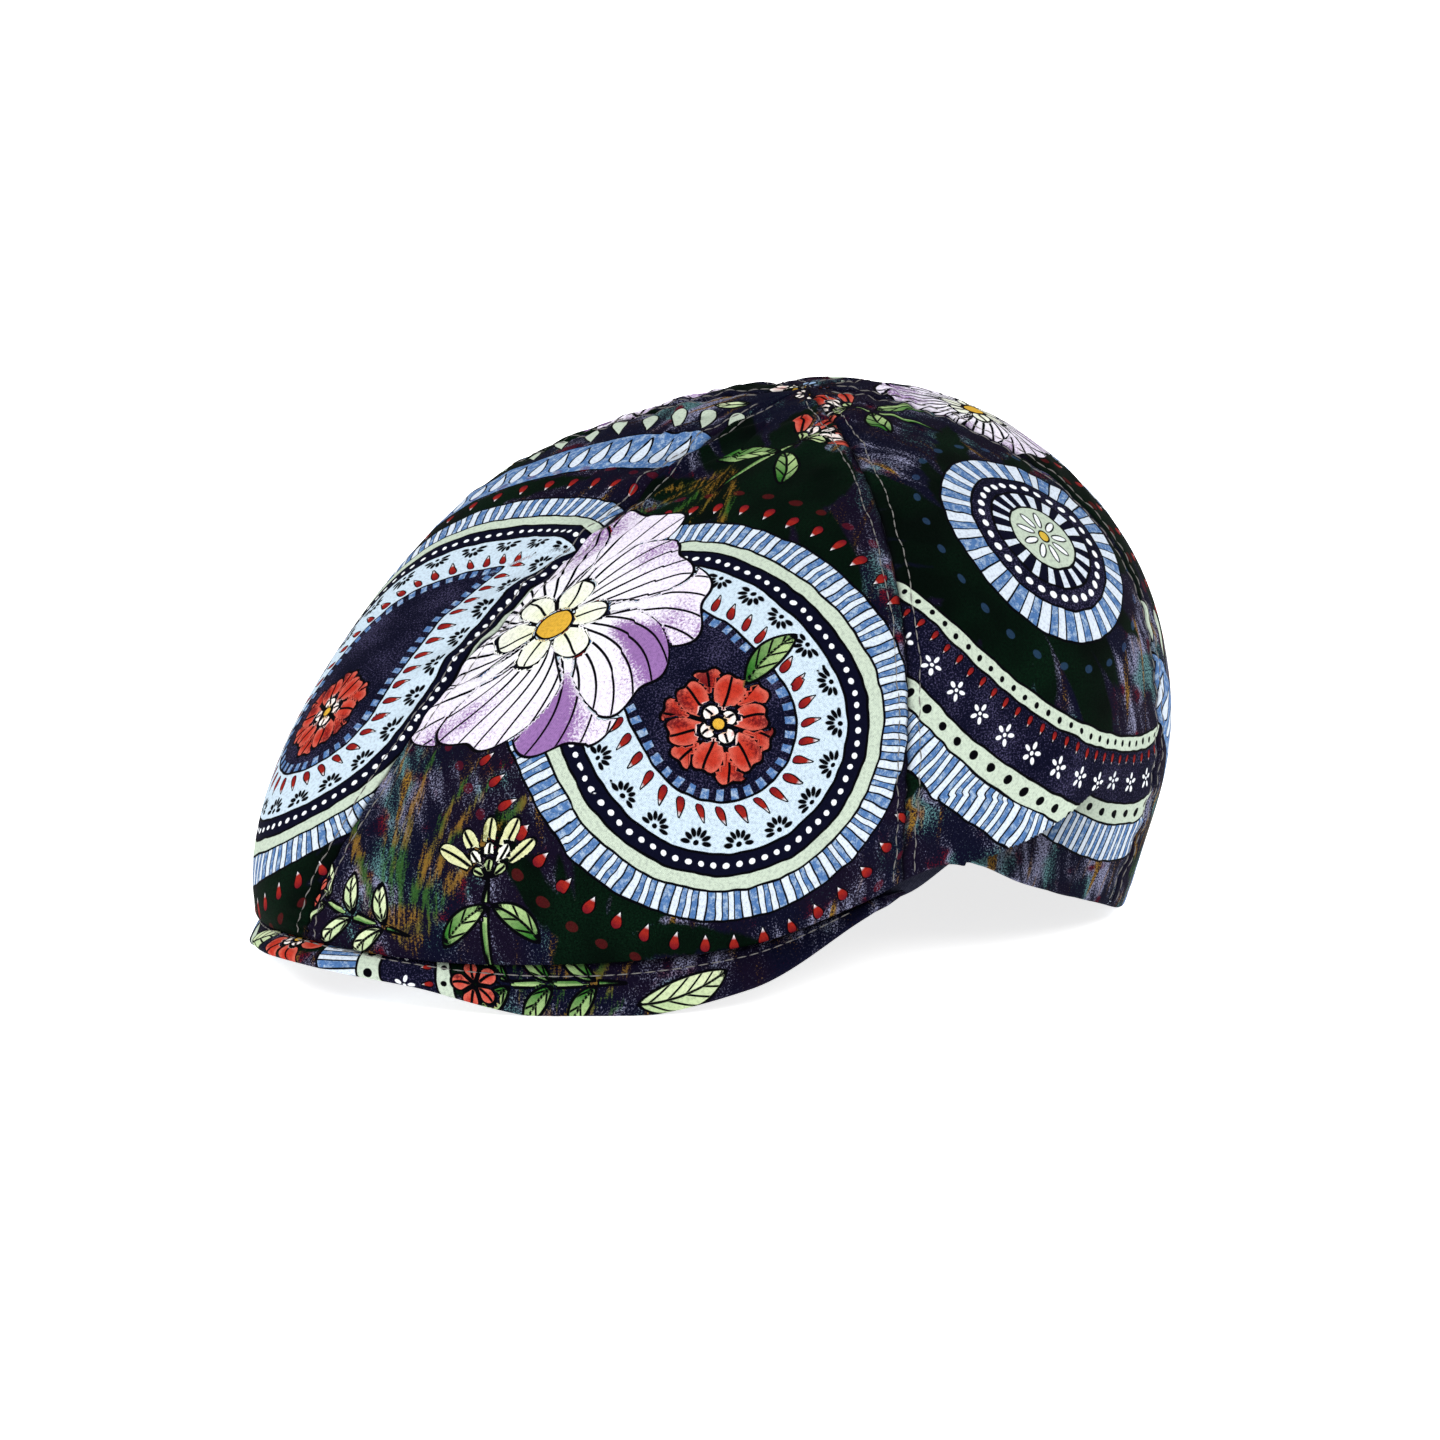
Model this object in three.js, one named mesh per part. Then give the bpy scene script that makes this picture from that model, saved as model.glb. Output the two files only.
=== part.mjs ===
// Duckbill cap: a soft six-panel crown that overhangs a short curved peak, with a band
// inside the head opening. Millimetres, +Z up. The front of the cap faces -Y, the
// wearer's left is +X, and the cap rests on the back of its rim and on the peak.
//
// The crown is swept by meridians that run from the top, where the six seams meet, down
// to the rim. "angle" is the plan angle of a meridian, 0 at the centre front and 180 at
// the centre back. Left and right halves are mirror images, apart from the dents.
import * as THREE from 'three';

// Overall sizes
const frontReach = 133.5; // rim at the centre front, ahead of the opening's centre
const backReach = 103; // rim at the centre back
const halfWidth = 86; // rim at the side
const topHeight = 128.5; // height of the point where the seams meet
const topSetback = 22; // that point lies this far behind the opening's centre
const topSlope = 0.218; // the top falls towards the front at this slope
const wall = 2; // cloth with its lining
const gap = 0.3; // left between neighbouring pieces
const topHole = 1.6; // radius at which the panel tips stop
const sideSeam = 79;
const backSeam = 123;
const frontToCentre = 16.57; // moves the cap so that its length is centred on the origin

// Peak
const peakEnd = 77; // angle at which the peak runs out, each side
const peakThickness = 2.6;
const peakEndThickness = 1.4;
const peakTaperFrom = 62; // angle from which the peak thins towards its ends
const contactDrop = 0.45; // the peak passes this far under the crown's edge

// Band inside the head opening
const bandHalfWidth = 83.5;
const bandFront = 101;
const bandBack = 100.5;
const bandHeight = 24;
const bandThickness = 1.2;

// One row for each measured meridian: handle lengths of the curve at the top and at the
// rim, and the lean of the wall at the rim, in degrees out from upright
const meridians = [
  { angle: 0, topHandle: 0.59, rimHandle: 0.11, lean: 17 },
  { angle: 30, topHandle: 0.45, rimHandle: 0.39, lean: 15 },
  { angle: 60, topHandle: 0.59, rimHandle: 0.65, lean: 14 },
  { angle: 90, topHandle: 0.61, rimHandle: 0.83, lean: 24 },
  { angle: 120, topHandle: 0.49, rimHandle: 0.87, lean: 25 },
  { angle: 150, topHandle: 0.51, rimHandle: 0.83, lean: 16 },
  { angle: 180, topHandle: 0.57, rimHandle: 0.68, lean: 11 },
];

// Height of the crown's edge: low over the peak, arched at the ears, flat at the back
const rimHeights = [
  { angle: 0, height: 13.5 },
  { angle: 30, height: 11.5 },
  { angle: 60, height: 13 },
  { angle: 74, height: 20 },
  { angle: 80, height: 24.8 },
  { angle: 85, height: 27.2 },
  { angle: 90, height: 23.8 },
  { angle: 97, height: 18.2 },
  { angle: 106, height: 13 },
  { angle: 116, height: 7.8 },
  { angle: 131, height: 1.2 },
  { angle: 145, height: 0 },
  { angle: 180, height: 0 },
];

// The peak beyond the crown's edge: width along its slope, and the slope's fall in degrees
const peakEdge = [
  { angle: 0, width: 6.5, fall: 31 },
  { angle: 20, width: 6, fall: 69 },
  { angle: 40, width: 12.5, fall: 84 },
  { angle: 60, width: 9.5, fall: 52 },
  { angle: 78, width: 1.5, fall: 45 },
];

// Height of the peak's top face where it meets the band
const peakRoot = [
  { angle: 0, height: 20 },
  { angle: 30, height: 19 },
  { angle: 60, height: 17 },
  { angle: 70, height: 18 },
  { angle: 78, height: 20.8 },
];

// Height of the band's lower edge
const bandEdge = [
  { angle: 0, height: 17 },
  { angle: 45, height: 15.5 },
  { angle: 62, height: 15.5 },
  { angle: 78, height: 20.5 },
  { angle: 90, height: 28 },
  { angle: 105, height: 15 },
  { angle: 120, height: 7.8 },
  { angle: 140, height: 1.2 },
  { angle: 180, height: 1.2 },
];

// Soft dents and swellings of the crown. side is 1 for the wearer's left and -1 for the
// right; down is the share of the meridian from the top to the rim; turn tips the dent's
// length from level, in degrees. Length, width and depth in mm; a swelling has a depth
// under zero.
const dents = [
  { side: 1, angle: 8, down: 0.26, length: 34, width: 26, turn: 0, depth: 1.3 },
  { side: -1, angle: 30, down: 0.42, length: 40, width: 26, turn: 8, depth: 1.1 },
  { side: 1, angle: 95, down: 0.955, length: 26, width: 7, turn: -27, depth: 1.3 },
  { side: 1, angle: 98, down: 0.87, length: 32, width: 14, turn: -27, depth: -1.4 },
  { side: -1, angle: 94, down: 0.93, length: 24, width: 8, turn: -20, depth: 1.1 },
  { side: -1, angle: 98, down: 0.865, length: 32, width: 14, turn: -27, depth: -1.4 },
];
const meridianLength = 175; // about the length of a meridian from the top to the rim
const seamValley = 0.7; // depth of the crown along its seams
const seamReach = 9; // distance from a seam at which the cloth is full again

const grid = {
  front: { across: 18, down: 18 },
  side: { across: 10, down: 16 },
  back: { across: 12, down: 16 },
  peak: { around: 40, out: 9 },
  band: { around: 72, up: 3 },
};

const radians = (degrees) => (degrees * Math.PI) / 180;
const mix = (a, b, share) => a + (b - a) * share;

// Smooth curve through a table's rows, level at both ends
function readTable(rows, column, angle) {
  const last = rows.length - 1;
  let i = 0;
  while (i < last - 1 && angle > rows[i + 1].angle) {
    i += 1;
  }
  const slopeAt = (k) => (k === 0 || k === last
    ? 0
    : (rows[k + 1][column] - rows[k - 1][column]) / (rows[k + 1].angle - rows[k - 1].angle));
  const span = rows[i + 1].angle - rows[i].angle;
  const s = Math.min(Math.max((angle - rows[i].angle) / span, 0), 1);
  return (2 * s ** 3 - 3 * s ** 2 + 1) * rows[i][column]
    + (s ** 3 - 2 * s ** 2 + s) * span * slopeAt(i)
    + (3 * s ** 2 - 2 * s ** 3) * rows[i + 1][column]
    + (s ** 3 - s ** 2) * span * slopeAt(i + 1);
}

// Point on the crown's edge. A negative angle is on the wearer's right.
function rimPoint(angle) {
  const turn = radians(Math.abs(angle));
  const reach = Math.abs(angle) < 90 ? frontReach : backReach;
  const height = Math.max(readTable(rimHeights, 'height', Math.abs(angle)), 0);
  const point = new THREE.Vector3(halfWidth * Math.sin(turn), -reach * Math.cos(turn), height);
  point.x *= angle < 0 ? -1 : 1;
  return point;
}

// Level direction out from the crown's edge
function rimOutward(angle) {
  const reach = Math.abs(angle) < 90 ? frontReach : backReach;
  const turn = radians(angle);
  return new THREE.Vector3(Math.sin(turn) / halfWidth, -Math.cos(turn) / reach, 0).normalize();
}

// Point of a smooth meridian: a cubic curve from the top to the rim
function meridianPoint(angle, down) {
  const row = Math.abs(angle);
  const top = new THREE.Vector3(0, topSetback, topHeight);
  const rim = rimPoint(angle);
  const outward = new THREE.Vector3(rim.x, rim.y - topSetback, 0);
  const run = outward.length();
  outward.normalize();
  const drop = topHeight - rim.z;
  const lean = radians(readTable(meridians, 'lean', row));
  const topHandle = readTable(meridians, 'topHandle', row) * run;
  const rimHandle = readTable(meridians, 'rimHandle', row) * drop;
  const fromTop = outward.clone().setZ(topSlope * outward.y).multiplyScalar(topHandle).add(top);
  const fromRim = outward.clone().multiplyScalar(Math.sin(lean)).setZ(Math.cos(lean))
    .multiplyScalar(rimHandle).add(rim);
  return new THREE.CubicBezierCurve3(top, fromTop, fromRim, rim).getPoint(down);
}

// Unit normal of a surface given as a function of two numbers, from small steps in each
function normalAt(surface, a, b, stepA, stepB) {
  const alongA = surface(a + stepA, b).sub(surface(a - stepA, b));
  const alongB = surface(a, b + stepB).sub(surface(a, b - stepB));
  return alongA.cross(alongB).normalize();
}

const crownNormal = (angle, down) => {
  const held = Math.min(Math.max(down, 0.02), 0.995);
  return normalAt(meridianPoint, angle, held, 0.5, 0.004).negate();
};

// How far the cloth stands in from the smooth crown: valleys at the seams, and the dents
function clothOffset(angle, down) {
  const radius = Math.hypot(meridianPoint(angle, down).x, meridianPoint(angle, down).y - topSetback);
  const seams = [0, sideSeam, backSeam, 180];
  const nearest = Math.min(...seams.map((seam) => Math.abs(Math.abs(angle) - seam)));
  const away = Math.min((radius * radians(nearest)) / seamReach, 1);
  let offset = seamValley * (1 - away) ** 2 * Math.min(radius / 20, 1);
  for (const dent of dents) {
    const turn = radians(dent.turn);
    const around = radians(angle * dent.side - dent.angle) * radius;
    const below = (down - dent.down) * meridianLength;
    const u = (around * Math.cos(turn) + below * Math.sin(turn)) / dent.length;
    const v = (below * Math.cos(turn) - around * Math.sin(turn)) / dent.width;
    offset += dent.depth * Math.exp(-2.5 * (u * u + v * v));
  }
  const towardsRim = Math.min(Math.max((1 - down) / 0.03, 0), 1);
  return offset * towardsRim;
}

// Outer face of the crown, and the inner face one wall thickness inside it. The edge of
// the cloth is level, so there the inner face lies straight in from the outer one.
function crownFaces(angle, down) {
  const smooth = meridianPoint(angle, down);
  const normal = crownNormal(angle, down);
  const outer = smooth.clone().addScaledVector(normal, -clothOffset(angle, down));
  const level = new THREE.Vector3(normal.x, normal.y, 0).normalize();
  const inward = down > 0.999 ? level : normal;
  return { outer, inner: outer.clone().addScaledVector(inward, -wall) };
}

// Closes two matching grids of points, faces[0] outside and faces[1] inside, into one
// solid: the outer grid, the inner grid turned over, and a strip along every open edge
function closeGrids(rows, columns, faces, ring) {
  const positions = [];
  for (const face of faces) {
    for (const point of face) {
      positions.push(point.x, point.y, point.z);
    }
  }
  const count = rows * columns;
  const at = (face, row, column) => face * count + row * columns + (column % columns);
  const triangles = [];
  const quad = (a, b, c, d) => triangles.push(a, b, c, a, c, d);
  const lastColumn = ring ? columns : columns - 1;
  for (let row = 0; row < rows - 1; row += 1) {
    for (let column = 0; column < lastColumn; column += 1) {
      const next = column + 1;
      quad(at(0, row, column), at(0, row + 1, column), at(0, row + 1, next), at(0, row, next));
      quad(at(1, row, column), at(1, row, next), at(1, row + 1, next), at(1, row + 1, column));
    }
  }
  for (let column = 0; column < lastColumn; column += 1) {
    const next = column + 1;
    const end = rows - 1;
    quad(at(0, 0, column), at(0, 0, next), at(1, 0, next), at(1, 0, column));
    quad(at(0, end, column), at(1, end, column), at(1, end, next), at(0, end, next));
  }
  if (!ring) {
    for (let row = 0; row < rows - 1; row += 1) {
      const next = row + 1;
      const end = columns - 1;
      quad(at(0, row, 0), at(1, row, 0), at(1, next, 0), at(0, next, 0));
      quad(at(0, row, end), at(0, next, end), at(1, next, end), at(1, row, end));
    }
  }
  const geometry = new THREE.BufferGeometry();
  geometry.setAttribute('position', new THREE.Float32BufferAttribute(positions, 3));
  geometry.setIndex(triangles);
  geometry.computeVertexNormals();
  return geometry;
}

// Angle that covers half the gap at a seam, at a share of the way down
function halfGapAngle(angle, down) {
  const step = 0.05;
  const move = meridianPoint(angle + step, down).distanceTo(meridianPoint(angle - step, down));
  return ((gap / 2) * 2 * step) / move;
}

// One crown panel between two seams, held half the gap away from each
function panelGeometry(fromAngle, toAngle, side, { across, down }) {
  const outer = [];
  const inner = [];
  for (let row = 0; row <= down; row += 1) {
    const along = mix(holeShare(mix(fromAngle, toAngle, 0.5)), 1, row / down);
    const first = fromAngle + halfGapAngle(fromAngle, along);
    const last = toAngle - halfGapAngle(toAngle, along);
    for (let column = 0; column <= across; column += 1) {
      const faces = crownFaces(side * mix(first, last, column / across), along);
      outer.push(faces.outer);
      inner.push(faces.inner);
    }
  }
  const geometry = closeGrids(down + 1, across + 1, [outer, inner], false);
  return side < 0 ? turnOver(geometry) : geometry;
}

// Share of the meridian at which the panel tips stop around the top
function holeShare(angle) {
  const span = meridianPoint(angle, 0.01).distanceTo(meridianPoint(angle, 0)) / 0.01;
  return topHole / span;
}

// Turns every triangle over, for a piece whose grid runs the other way round
function turnOver(geometry) {
  const index = geometry.getIndex().array;
  for (let i = 0; i < index.length; i += 3) {
    [index[i], index[i + 1]] = [index[i + 1], index[i]];
  }
  geometry.computeVertexNormals();
  return geometry;
}

// Top face of the peak at an angle: from its root against the band, under the crown's
// edge, and over a bend to the outer edge. share runs from 0 at the root to 1 outside.
function peakTop(angle, share) {
  const row = Math.abs(angle);
  const turn = radians(angle);
  const root = new THREE.Vector3(
    (bandHalfWidth + gap) * Math.sin(turn),
    -(bandFront + gap) * Math.cos(turn),
    readTable(peakRoot, 'height', row),
  );
  const outward = rimOutward(angle);
  const rim = rimPoint(angle);
  const contact = rim.clone().addScaledVector(outward, -wall - gap);
  contact.z = rim.z - contactDrop;
  root.z = Math.max(root.z, contact.z);
  const fall = radians(readTable(peakEdge, 'fall', row));
  const width = readTable(peakEdge, 'width', row);
  const edge = rim.clone().addScaledVector(outward, width * Math.cos(fall));
  edge.z -= width * Math.sin(fall);
  const bend = 0.45;
  if (share < bend) {
    const s = share / bend;
    const level = root.clone().lerp(contact, s);
    level.z = mix(root.z, contact.z, s * s);
    return level;
  }
  const s = (share - bend) / (1 - bend);
  const shoulder = contact.clone().lerp(edge, 0.55);
  shoulder.z = mix(contact.z, edge.z, 0.3);
  return new THREE.QuadraticBezierCurve3(contact, shoulder, edge).getPoint(s);
}

function peakGeometry({ around, out }) {
  const upper = [];
  const lower = [];
  for (let row = 0; row <= out; row += 1) {
    for (let column = 0; column <= around; column += 1) {
      const angle = mix(-peakEnd, peakEnd, column / around);
      const share = row / out;
      const held = Math.min(Math.max(share, 0.01), 0.99);
      const heldAngle = Math.min(Math.max(angle, 0.5 - peakEnd), peakEnd - 0.5);
      const normal = normalAt(peakTop, heldAngle, held, 0.4, 0.01).negate();
      if (row === 0) {
        normal.set(0, 0, 1);
      }
      const thinning = Math.max((Math.abs(angle) - peakTaperFrom) / (peakEnd - peakTaperFrom), 0);
      const top = peakTop(angle, share);
      const bottom = top.clone().addScaledVector(normal, -mix(peakThickness, peakEndThickness, thinning));
      top.z = Math.max(top.z, 0.4);
      bottom.z = Math.max(bottom.z, 0);
      upper.push(top);
      lower.push(bottom);
    }
  }
  return closeGrids(out + 1, around + 1, [upper, lower], false);
}

// The band: a ring that lines the head opening, its lower edge following the opening
function bandGeometry({ around, up }) {
  const outer = [];
  const inner = [];
  for (let row = 0; row <= up; row += 1) {
    for (let column = 0; column < around; column += 1) {
      const angle = -180 + (360 * column) / around;
      const turn = radians(angle);
      const reach = Math.abs(angle) < 90 ? bandFront : bandBack;
      const low = readTable(bandEdge, 'height', Math.abs(angle));
      const height = low + bandHeight * (1 - row / up);
      const across = (inset) => new THREE.Vector3(
        (bandHalfWidth - inset) * Math.sin(turn),
        -(reach - inset) * Math.cos(turn),
        height,
      );
      outer.push(across(0));
      inner.push(across(bandThickness));
    }
  }
  return closeGrids(up + 1, around, [outer, inner], true);
}

const printedCloth = () => new THREE.MeshStandardMaterial({ color: 0x2b2e3c, roughness: 0.82, metalness: 0 });
const bandCloth = new THREE.MeshStandardMaterial({ color: 0x17181d, roughness: 0.88, metalness: 0 });

const group = new THREE.Group();
function place(name, geometry, material) {
  const mesh = new THREE.Mesh(geometry, material);
  mesh.name = name;
  mesh.position.set(0, frontToCentre, 0);
  group.add(mesh);
}

for (const [sideName, side] of [['left', 1], ['right', -1]]) {
  place(`crown_front_${sideName}`, panelGeometry(0, sideSeam, side, grid.front), printedCloth());
  place(`crown_side_${sideName}`, panelGeometry(sideSeam, backSeam, side, grid.side), printedCloth());
  place(`crown_back_${sideName}`, panelGeometry(backSeam, 180, side, grid.back), printedCloth());
}
place('peak', peakGeometry(grid.peak), printedCloth());
place('sweatband', bandGeometry(grid.band), bandCloth);

export default group;
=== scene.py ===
import math
import bpy
import numpy as np
from mathutils import Matrix, Vector


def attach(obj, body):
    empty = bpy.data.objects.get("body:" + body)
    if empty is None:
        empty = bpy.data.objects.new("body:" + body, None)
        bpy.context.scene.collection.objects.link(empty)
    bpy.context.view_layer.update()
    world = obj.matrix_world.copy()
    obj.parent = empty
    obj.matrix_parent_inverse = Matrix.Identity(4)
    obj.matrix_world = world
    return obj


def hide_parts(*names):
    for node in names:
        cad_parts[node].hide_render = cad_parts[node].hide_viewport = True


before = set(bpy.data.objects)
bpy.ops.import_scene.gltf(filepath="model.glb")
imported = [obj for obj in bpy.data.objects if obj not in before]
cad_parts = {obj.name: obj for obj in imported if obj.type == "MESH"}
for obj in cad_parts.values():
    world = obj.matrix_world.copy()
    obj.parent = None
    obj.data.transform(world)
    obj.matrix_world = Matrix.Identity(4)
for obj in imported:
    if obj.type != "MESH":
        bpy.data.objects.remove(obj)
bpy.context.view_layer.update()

# Duckbill cap. Lengths are in millimetres until a mesh is made, +Z up, front towards -Y,
# the wearer's left towards +X. "angle" is the plan angle of a meridian of the crown, 0 at
# the centre front, 180 at the centre back and negative on the wearer's right; "down" runs
# along it from 0 at the top, where the seams meet, to 1 at the rim. A table such as
# {0: 13.5, 30: 11.5} gives a value at each angle, the same on both sides.
cap = {
    "frontReach": 133.5,
    "backReach": 103.0,
    "halfWidth": 86.0,
    "topHeight": 128.5,
    "topSetback": 22.0,
    "topSlope": 0.218,
    "sideSeam": 79,
    "backSeam": 123,
    "frontToCentre": 16.57,
    "topHandle": {0: 0.59, 30: 0.45, 60: 0.59, 90: 0.61, 120: 0.49, 150: 0.51, 180: 0.57},
    "rimHandle": {0: 0.11, 30: 0.39, 60: 0.65, 90: 0.83, 120: 0.87, 150: 0.83, 180: 0.68},
    "lean": {0: 17, 30: 15, 60: 14, 90: 24, 120: 25, 150: 16, 180: 11},
    "rimHeight": {0: 13.5, 30: 11.5, 60: 13, 74: 20, 80: 24.8, 85: 27.2, 90: 23.8, 97: 18.2, 106: 13,
                  116: 7.8, 131: 1.2, 145: 0, 180: 0},
}


def stack(*parts):
    # coordinates side by side, brought to one shape
    return np.stack(np.broadcast_arrays(*parts), -1)


def unit(vectors):
    # vectors divided by their own lengths
    return vectors / np.maximum(np.linalg.norm(vectors, axis=-1, keepdims=True), 1e-9)


def between(value, low, high):
    # 0 below low, 1 above high, smooth in between
    s = np.clip((value - low) / (high - low), 0, 1)
    return s * s * (3 - 2 * s)


def lengthsAlong(points, axis=0):
    # running sum of the steps between neighbouring points, from 0 at the first one
    steps = np.linalg.norm(np.diff(points, axis=axis), axis=-1)
    start = np.zeros_like(np.take(steps, [0], axis=axis))
    return np.concatenate([start, np.cumsum(steps, axis=axis)], axis)


def readTable(table, angle):
    # cubic through the values, slopes from the neighbours on both sides, level at both ends
    knots, values = np.array(list(table), float), np.array(list(table.values()), float)
    slopes = np.zeros_like(values)
    slopes[1:-1] = (values[2:] - values[:-2]) / (knots[2:] - knots[:-2])
    angle = np.abs(angle)
    i = np.clip(np.searchsorted(knots, angle, side="right") - 1, 0, len(knots) - 2)
    span = knots[i + 1] - knots[i]
    s = np.clip((angle - knots[i]) / span, 0, 1)
    return (
        (2 * s**3 - 3 * s**2 + 1) * values[i]
        + (s**3 - 2 * s**2 + s) * span * slopes[i]
        + (3 * s**2 - 2 * s**3) * values[i + 1]
        + (s**3 - s**2) * span * slopes[i + 1]
    )


def rimPoint(angle):
    # half an ellipse ahead of the head opening's centre and another behind it
    turn = np.radians(angle)
    reach = np.where(np.abs(angle) < 90, cap["frontReach"], cap["backReach"])
    height = np.maximum(readTable(cap["rimHeight"], angle), 0)
    return stack(cap["halfWidth"] * np.sin(turn), -reach * np.cos(turn), height)


def crownPoint(angle, down):
    # cubic curve from the top to the rim: it leaves the top along the top's own slope and
    # meets the rim at the wall's lean, with handles read from the tables
    top = np.array([0, cap["topSetback"], cap["topHeight"]])
    upright = np.array([0, 0, 1.0])
    rim = rimPoint(angle)
    outward = rim - top
    outward[..., 2] = 0
    run = np.linalg.norm(outward, axis=-1, keepdims=True)
    outward = outward / run
    lean = np.radians(readTable(cap["lean"], angle))[..., None]
    topHandle = readTable(cap["topHandle"], angle)[..., None] * run
    rimHandle = readTable(cap["rimHandle"], angle)[..., None] * (cap["topHeight"] - rim[..., 2:])
    fromTop = top + topHandle * (outward + cap["topSlope"] * outward[..., 1:2] * upright)
    fromRim = rim + rimHandle * (outward * np.sin(lean) + upright * np.cos(lean))
    s = np.asarray(down, float)[..., None]
    return (1 - s) ** 3 * top + 3 * (1 - s) ** 2 * s * fromTop + 3 * (1 - s) * s**2 * fromRim + s**3 * rim


def crownNormal(angle, down):
    # cross product of small steps along and down the crown, pointing out
    held = np.clip(down, 0.02, 0.995)
    along = crownPoint(angle + 0.5, held) - crownPoint(angle - 0.5, held)
    below = crownPoint(angle, held + 0.004) - crownPoint(angle, held - 0.004)
    return unit(np.cross(below, along))


def perDegree(angle, down):
    # length of one degree round the crown
    return np.linalg.norm(crownPoint(angle + 0.5, down) - crownPoint(angle - 0.5, down), axis=-1)


# How the cloth departs from the smooth crown. Depths point inwards; turn tips the length of
# a dent or crease from level, in degrees; hides is the cloth that lies folded away in it.
dents = [
    {"side": 1, "angle": 8, "down": 0.26, "length": 34, "width": 26, "turn": 0, "depth": 1.3},
    {"side": -1, "angle": 30, "down": 0.42, "length": 40, "width": 26, "turn": 8, "depth": 1.1},
    {"side": 1, "angle": 95, "down": 0.955, "length": 26, "width": 7, "turn": -27, "depth": 1.3},
    {"side": 1, "angle": 98, "down": 0.87, "length": 32, "width": 14, "turn": -27, "depth": -1.4},
    {"side": -1, "angle": 94, "down": 0.93, "length": 24, "width": 8, "turn": -20, "depth": 1.1},
    {"side": -1, "angle": 98, "down": 0.865, "length": 32, "width": 14, "turn": -27, "depth": -1.4},
]
creases = [
    {"side": 1, "angle": 94, "down": 0.955, "length": 20, "turn": -31, "drop": 3.6, "sharp": 0.5,
     "reach": 9, "hides": 6},
    {"side": 1, "angle": 90, "down": 0.985, "length": 7, "turn": -24, "drop": 1.1, "sharp": 0.5,
     "reach": 2.5, "hides": 1},
    {"side": -1, "angle": 93, "down": 0.955, "length": 15, "turn": -22, "drop": 1.9, "sharp": 0.6,
     "reach": 6, "hides": 3},
    {"side": 1, "angle": 71, "down": 0.93, "length": 10, "turn": 60, "drop": 0.5, "sharp": 0.9,
     "reach": 5, "hides": 0},
    {"side": 1, "angle": 7, "down": 0.33, "length": 13, "turn": -38, "drop": 0.7, "sharp": 0.8,
     "reach": 5, "hides": 1},
    {"side": -1, "angle": 9, "down": 0.4, "length": 12, "turn": 35, "drop": 0.6, "sharp": 0.8,
     "reach": 5, "hides": 1},
]
cloth = {
    "meridianLength": 175,
    "wall": 1.9,
    "seamValley": 0.7,
    "seamReach": 9,
    "groove": 0.5,
    "grooveWidth": 0.6,
    "pucker": 0.36,
    "puckerSpacing": 6.4,
    "puckerReach": 7,
    "stitchRow": 3.0,
    "stitchDip": 0.16,
    "stitchDipWidth": 0.5,
    "wave": 0.28,
    "slack": 1.3,
    "slackSpacing": 15,
    "slackReach": 26,
    "slackBySideSeams": 0.45,
    "topFade": 20,
    "rimFade": 0.03,
}
# how strong and how wide the painted shade in the folds, grooves and wrinkles is
shading = {
    "slack": 0.6,
    "groove": 0.75,
    "grooveWidth": 0.55,
    "fullDrop": 3,
    "longer": 1.3,
    "reachPerDrop": 2.6,
}
seams = np.array([-180, -cap["backSeam"], -cap["sideSeam"], 0, cap["sideSeam"], cap["backSeam"], 180])


def nearestSeam(angle):
    # the seam's own angle
    return seams[np.argmin(np.abs(angle[..., None] - seams), axis=-1)]


def topRadius(angle, down):
    # distance of the smooth crown from the upright line through its top
    smooth = crownPoint(angle, down)
    return np.hypot(smooth[..., 0], smooth[..., 1] - cap["topSetback"])


def dentAxes(row, angle, down, radius):
    # distances along and across a dent's own length
    turn = math.radians(row["turn"])
    around = np.radians(angle * row["side"] - row["angle"]) * radius
    below = (down - row["down"]) * cloth["meridianLength"]
    return around * math.cos(turn) + below * math.sin(turn), below * math.cos(turn) - around * math.sin(turn)


def slackWrinkles(angle, away, down, nearest):
    # wrinkles that slant away from a seam near the top, most by the front seam: narrow
    # crests at -1 and wide valleys at 0.55, faded with the distance from the seam
    side = np.sign(angle - nearest)
    along = down * cloth["meridianLength"]
    phase = (along + side * away * 0.75) * 2 * np.pi / cloth["slackSpacing"]
    crest = (0.5 + 0.5 * np.sin(phase + 1.3 * np.sin(along / 19 + side))) ** 2.2
    fade = np.exp(-((away / cloth["slackReach"]) ** 2)) * np.where(nearest == 0, 1, cloth["slackBySideSeams"])
    fade = fade * between(down, 0.05, 0.16) * (1 - between(down, 0.4, 0.62))
    fade = fade * (0.7 + 0.3 * np.sin(along / 13))
    return (0.55 - 1.55 * crest) * fade


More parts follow.
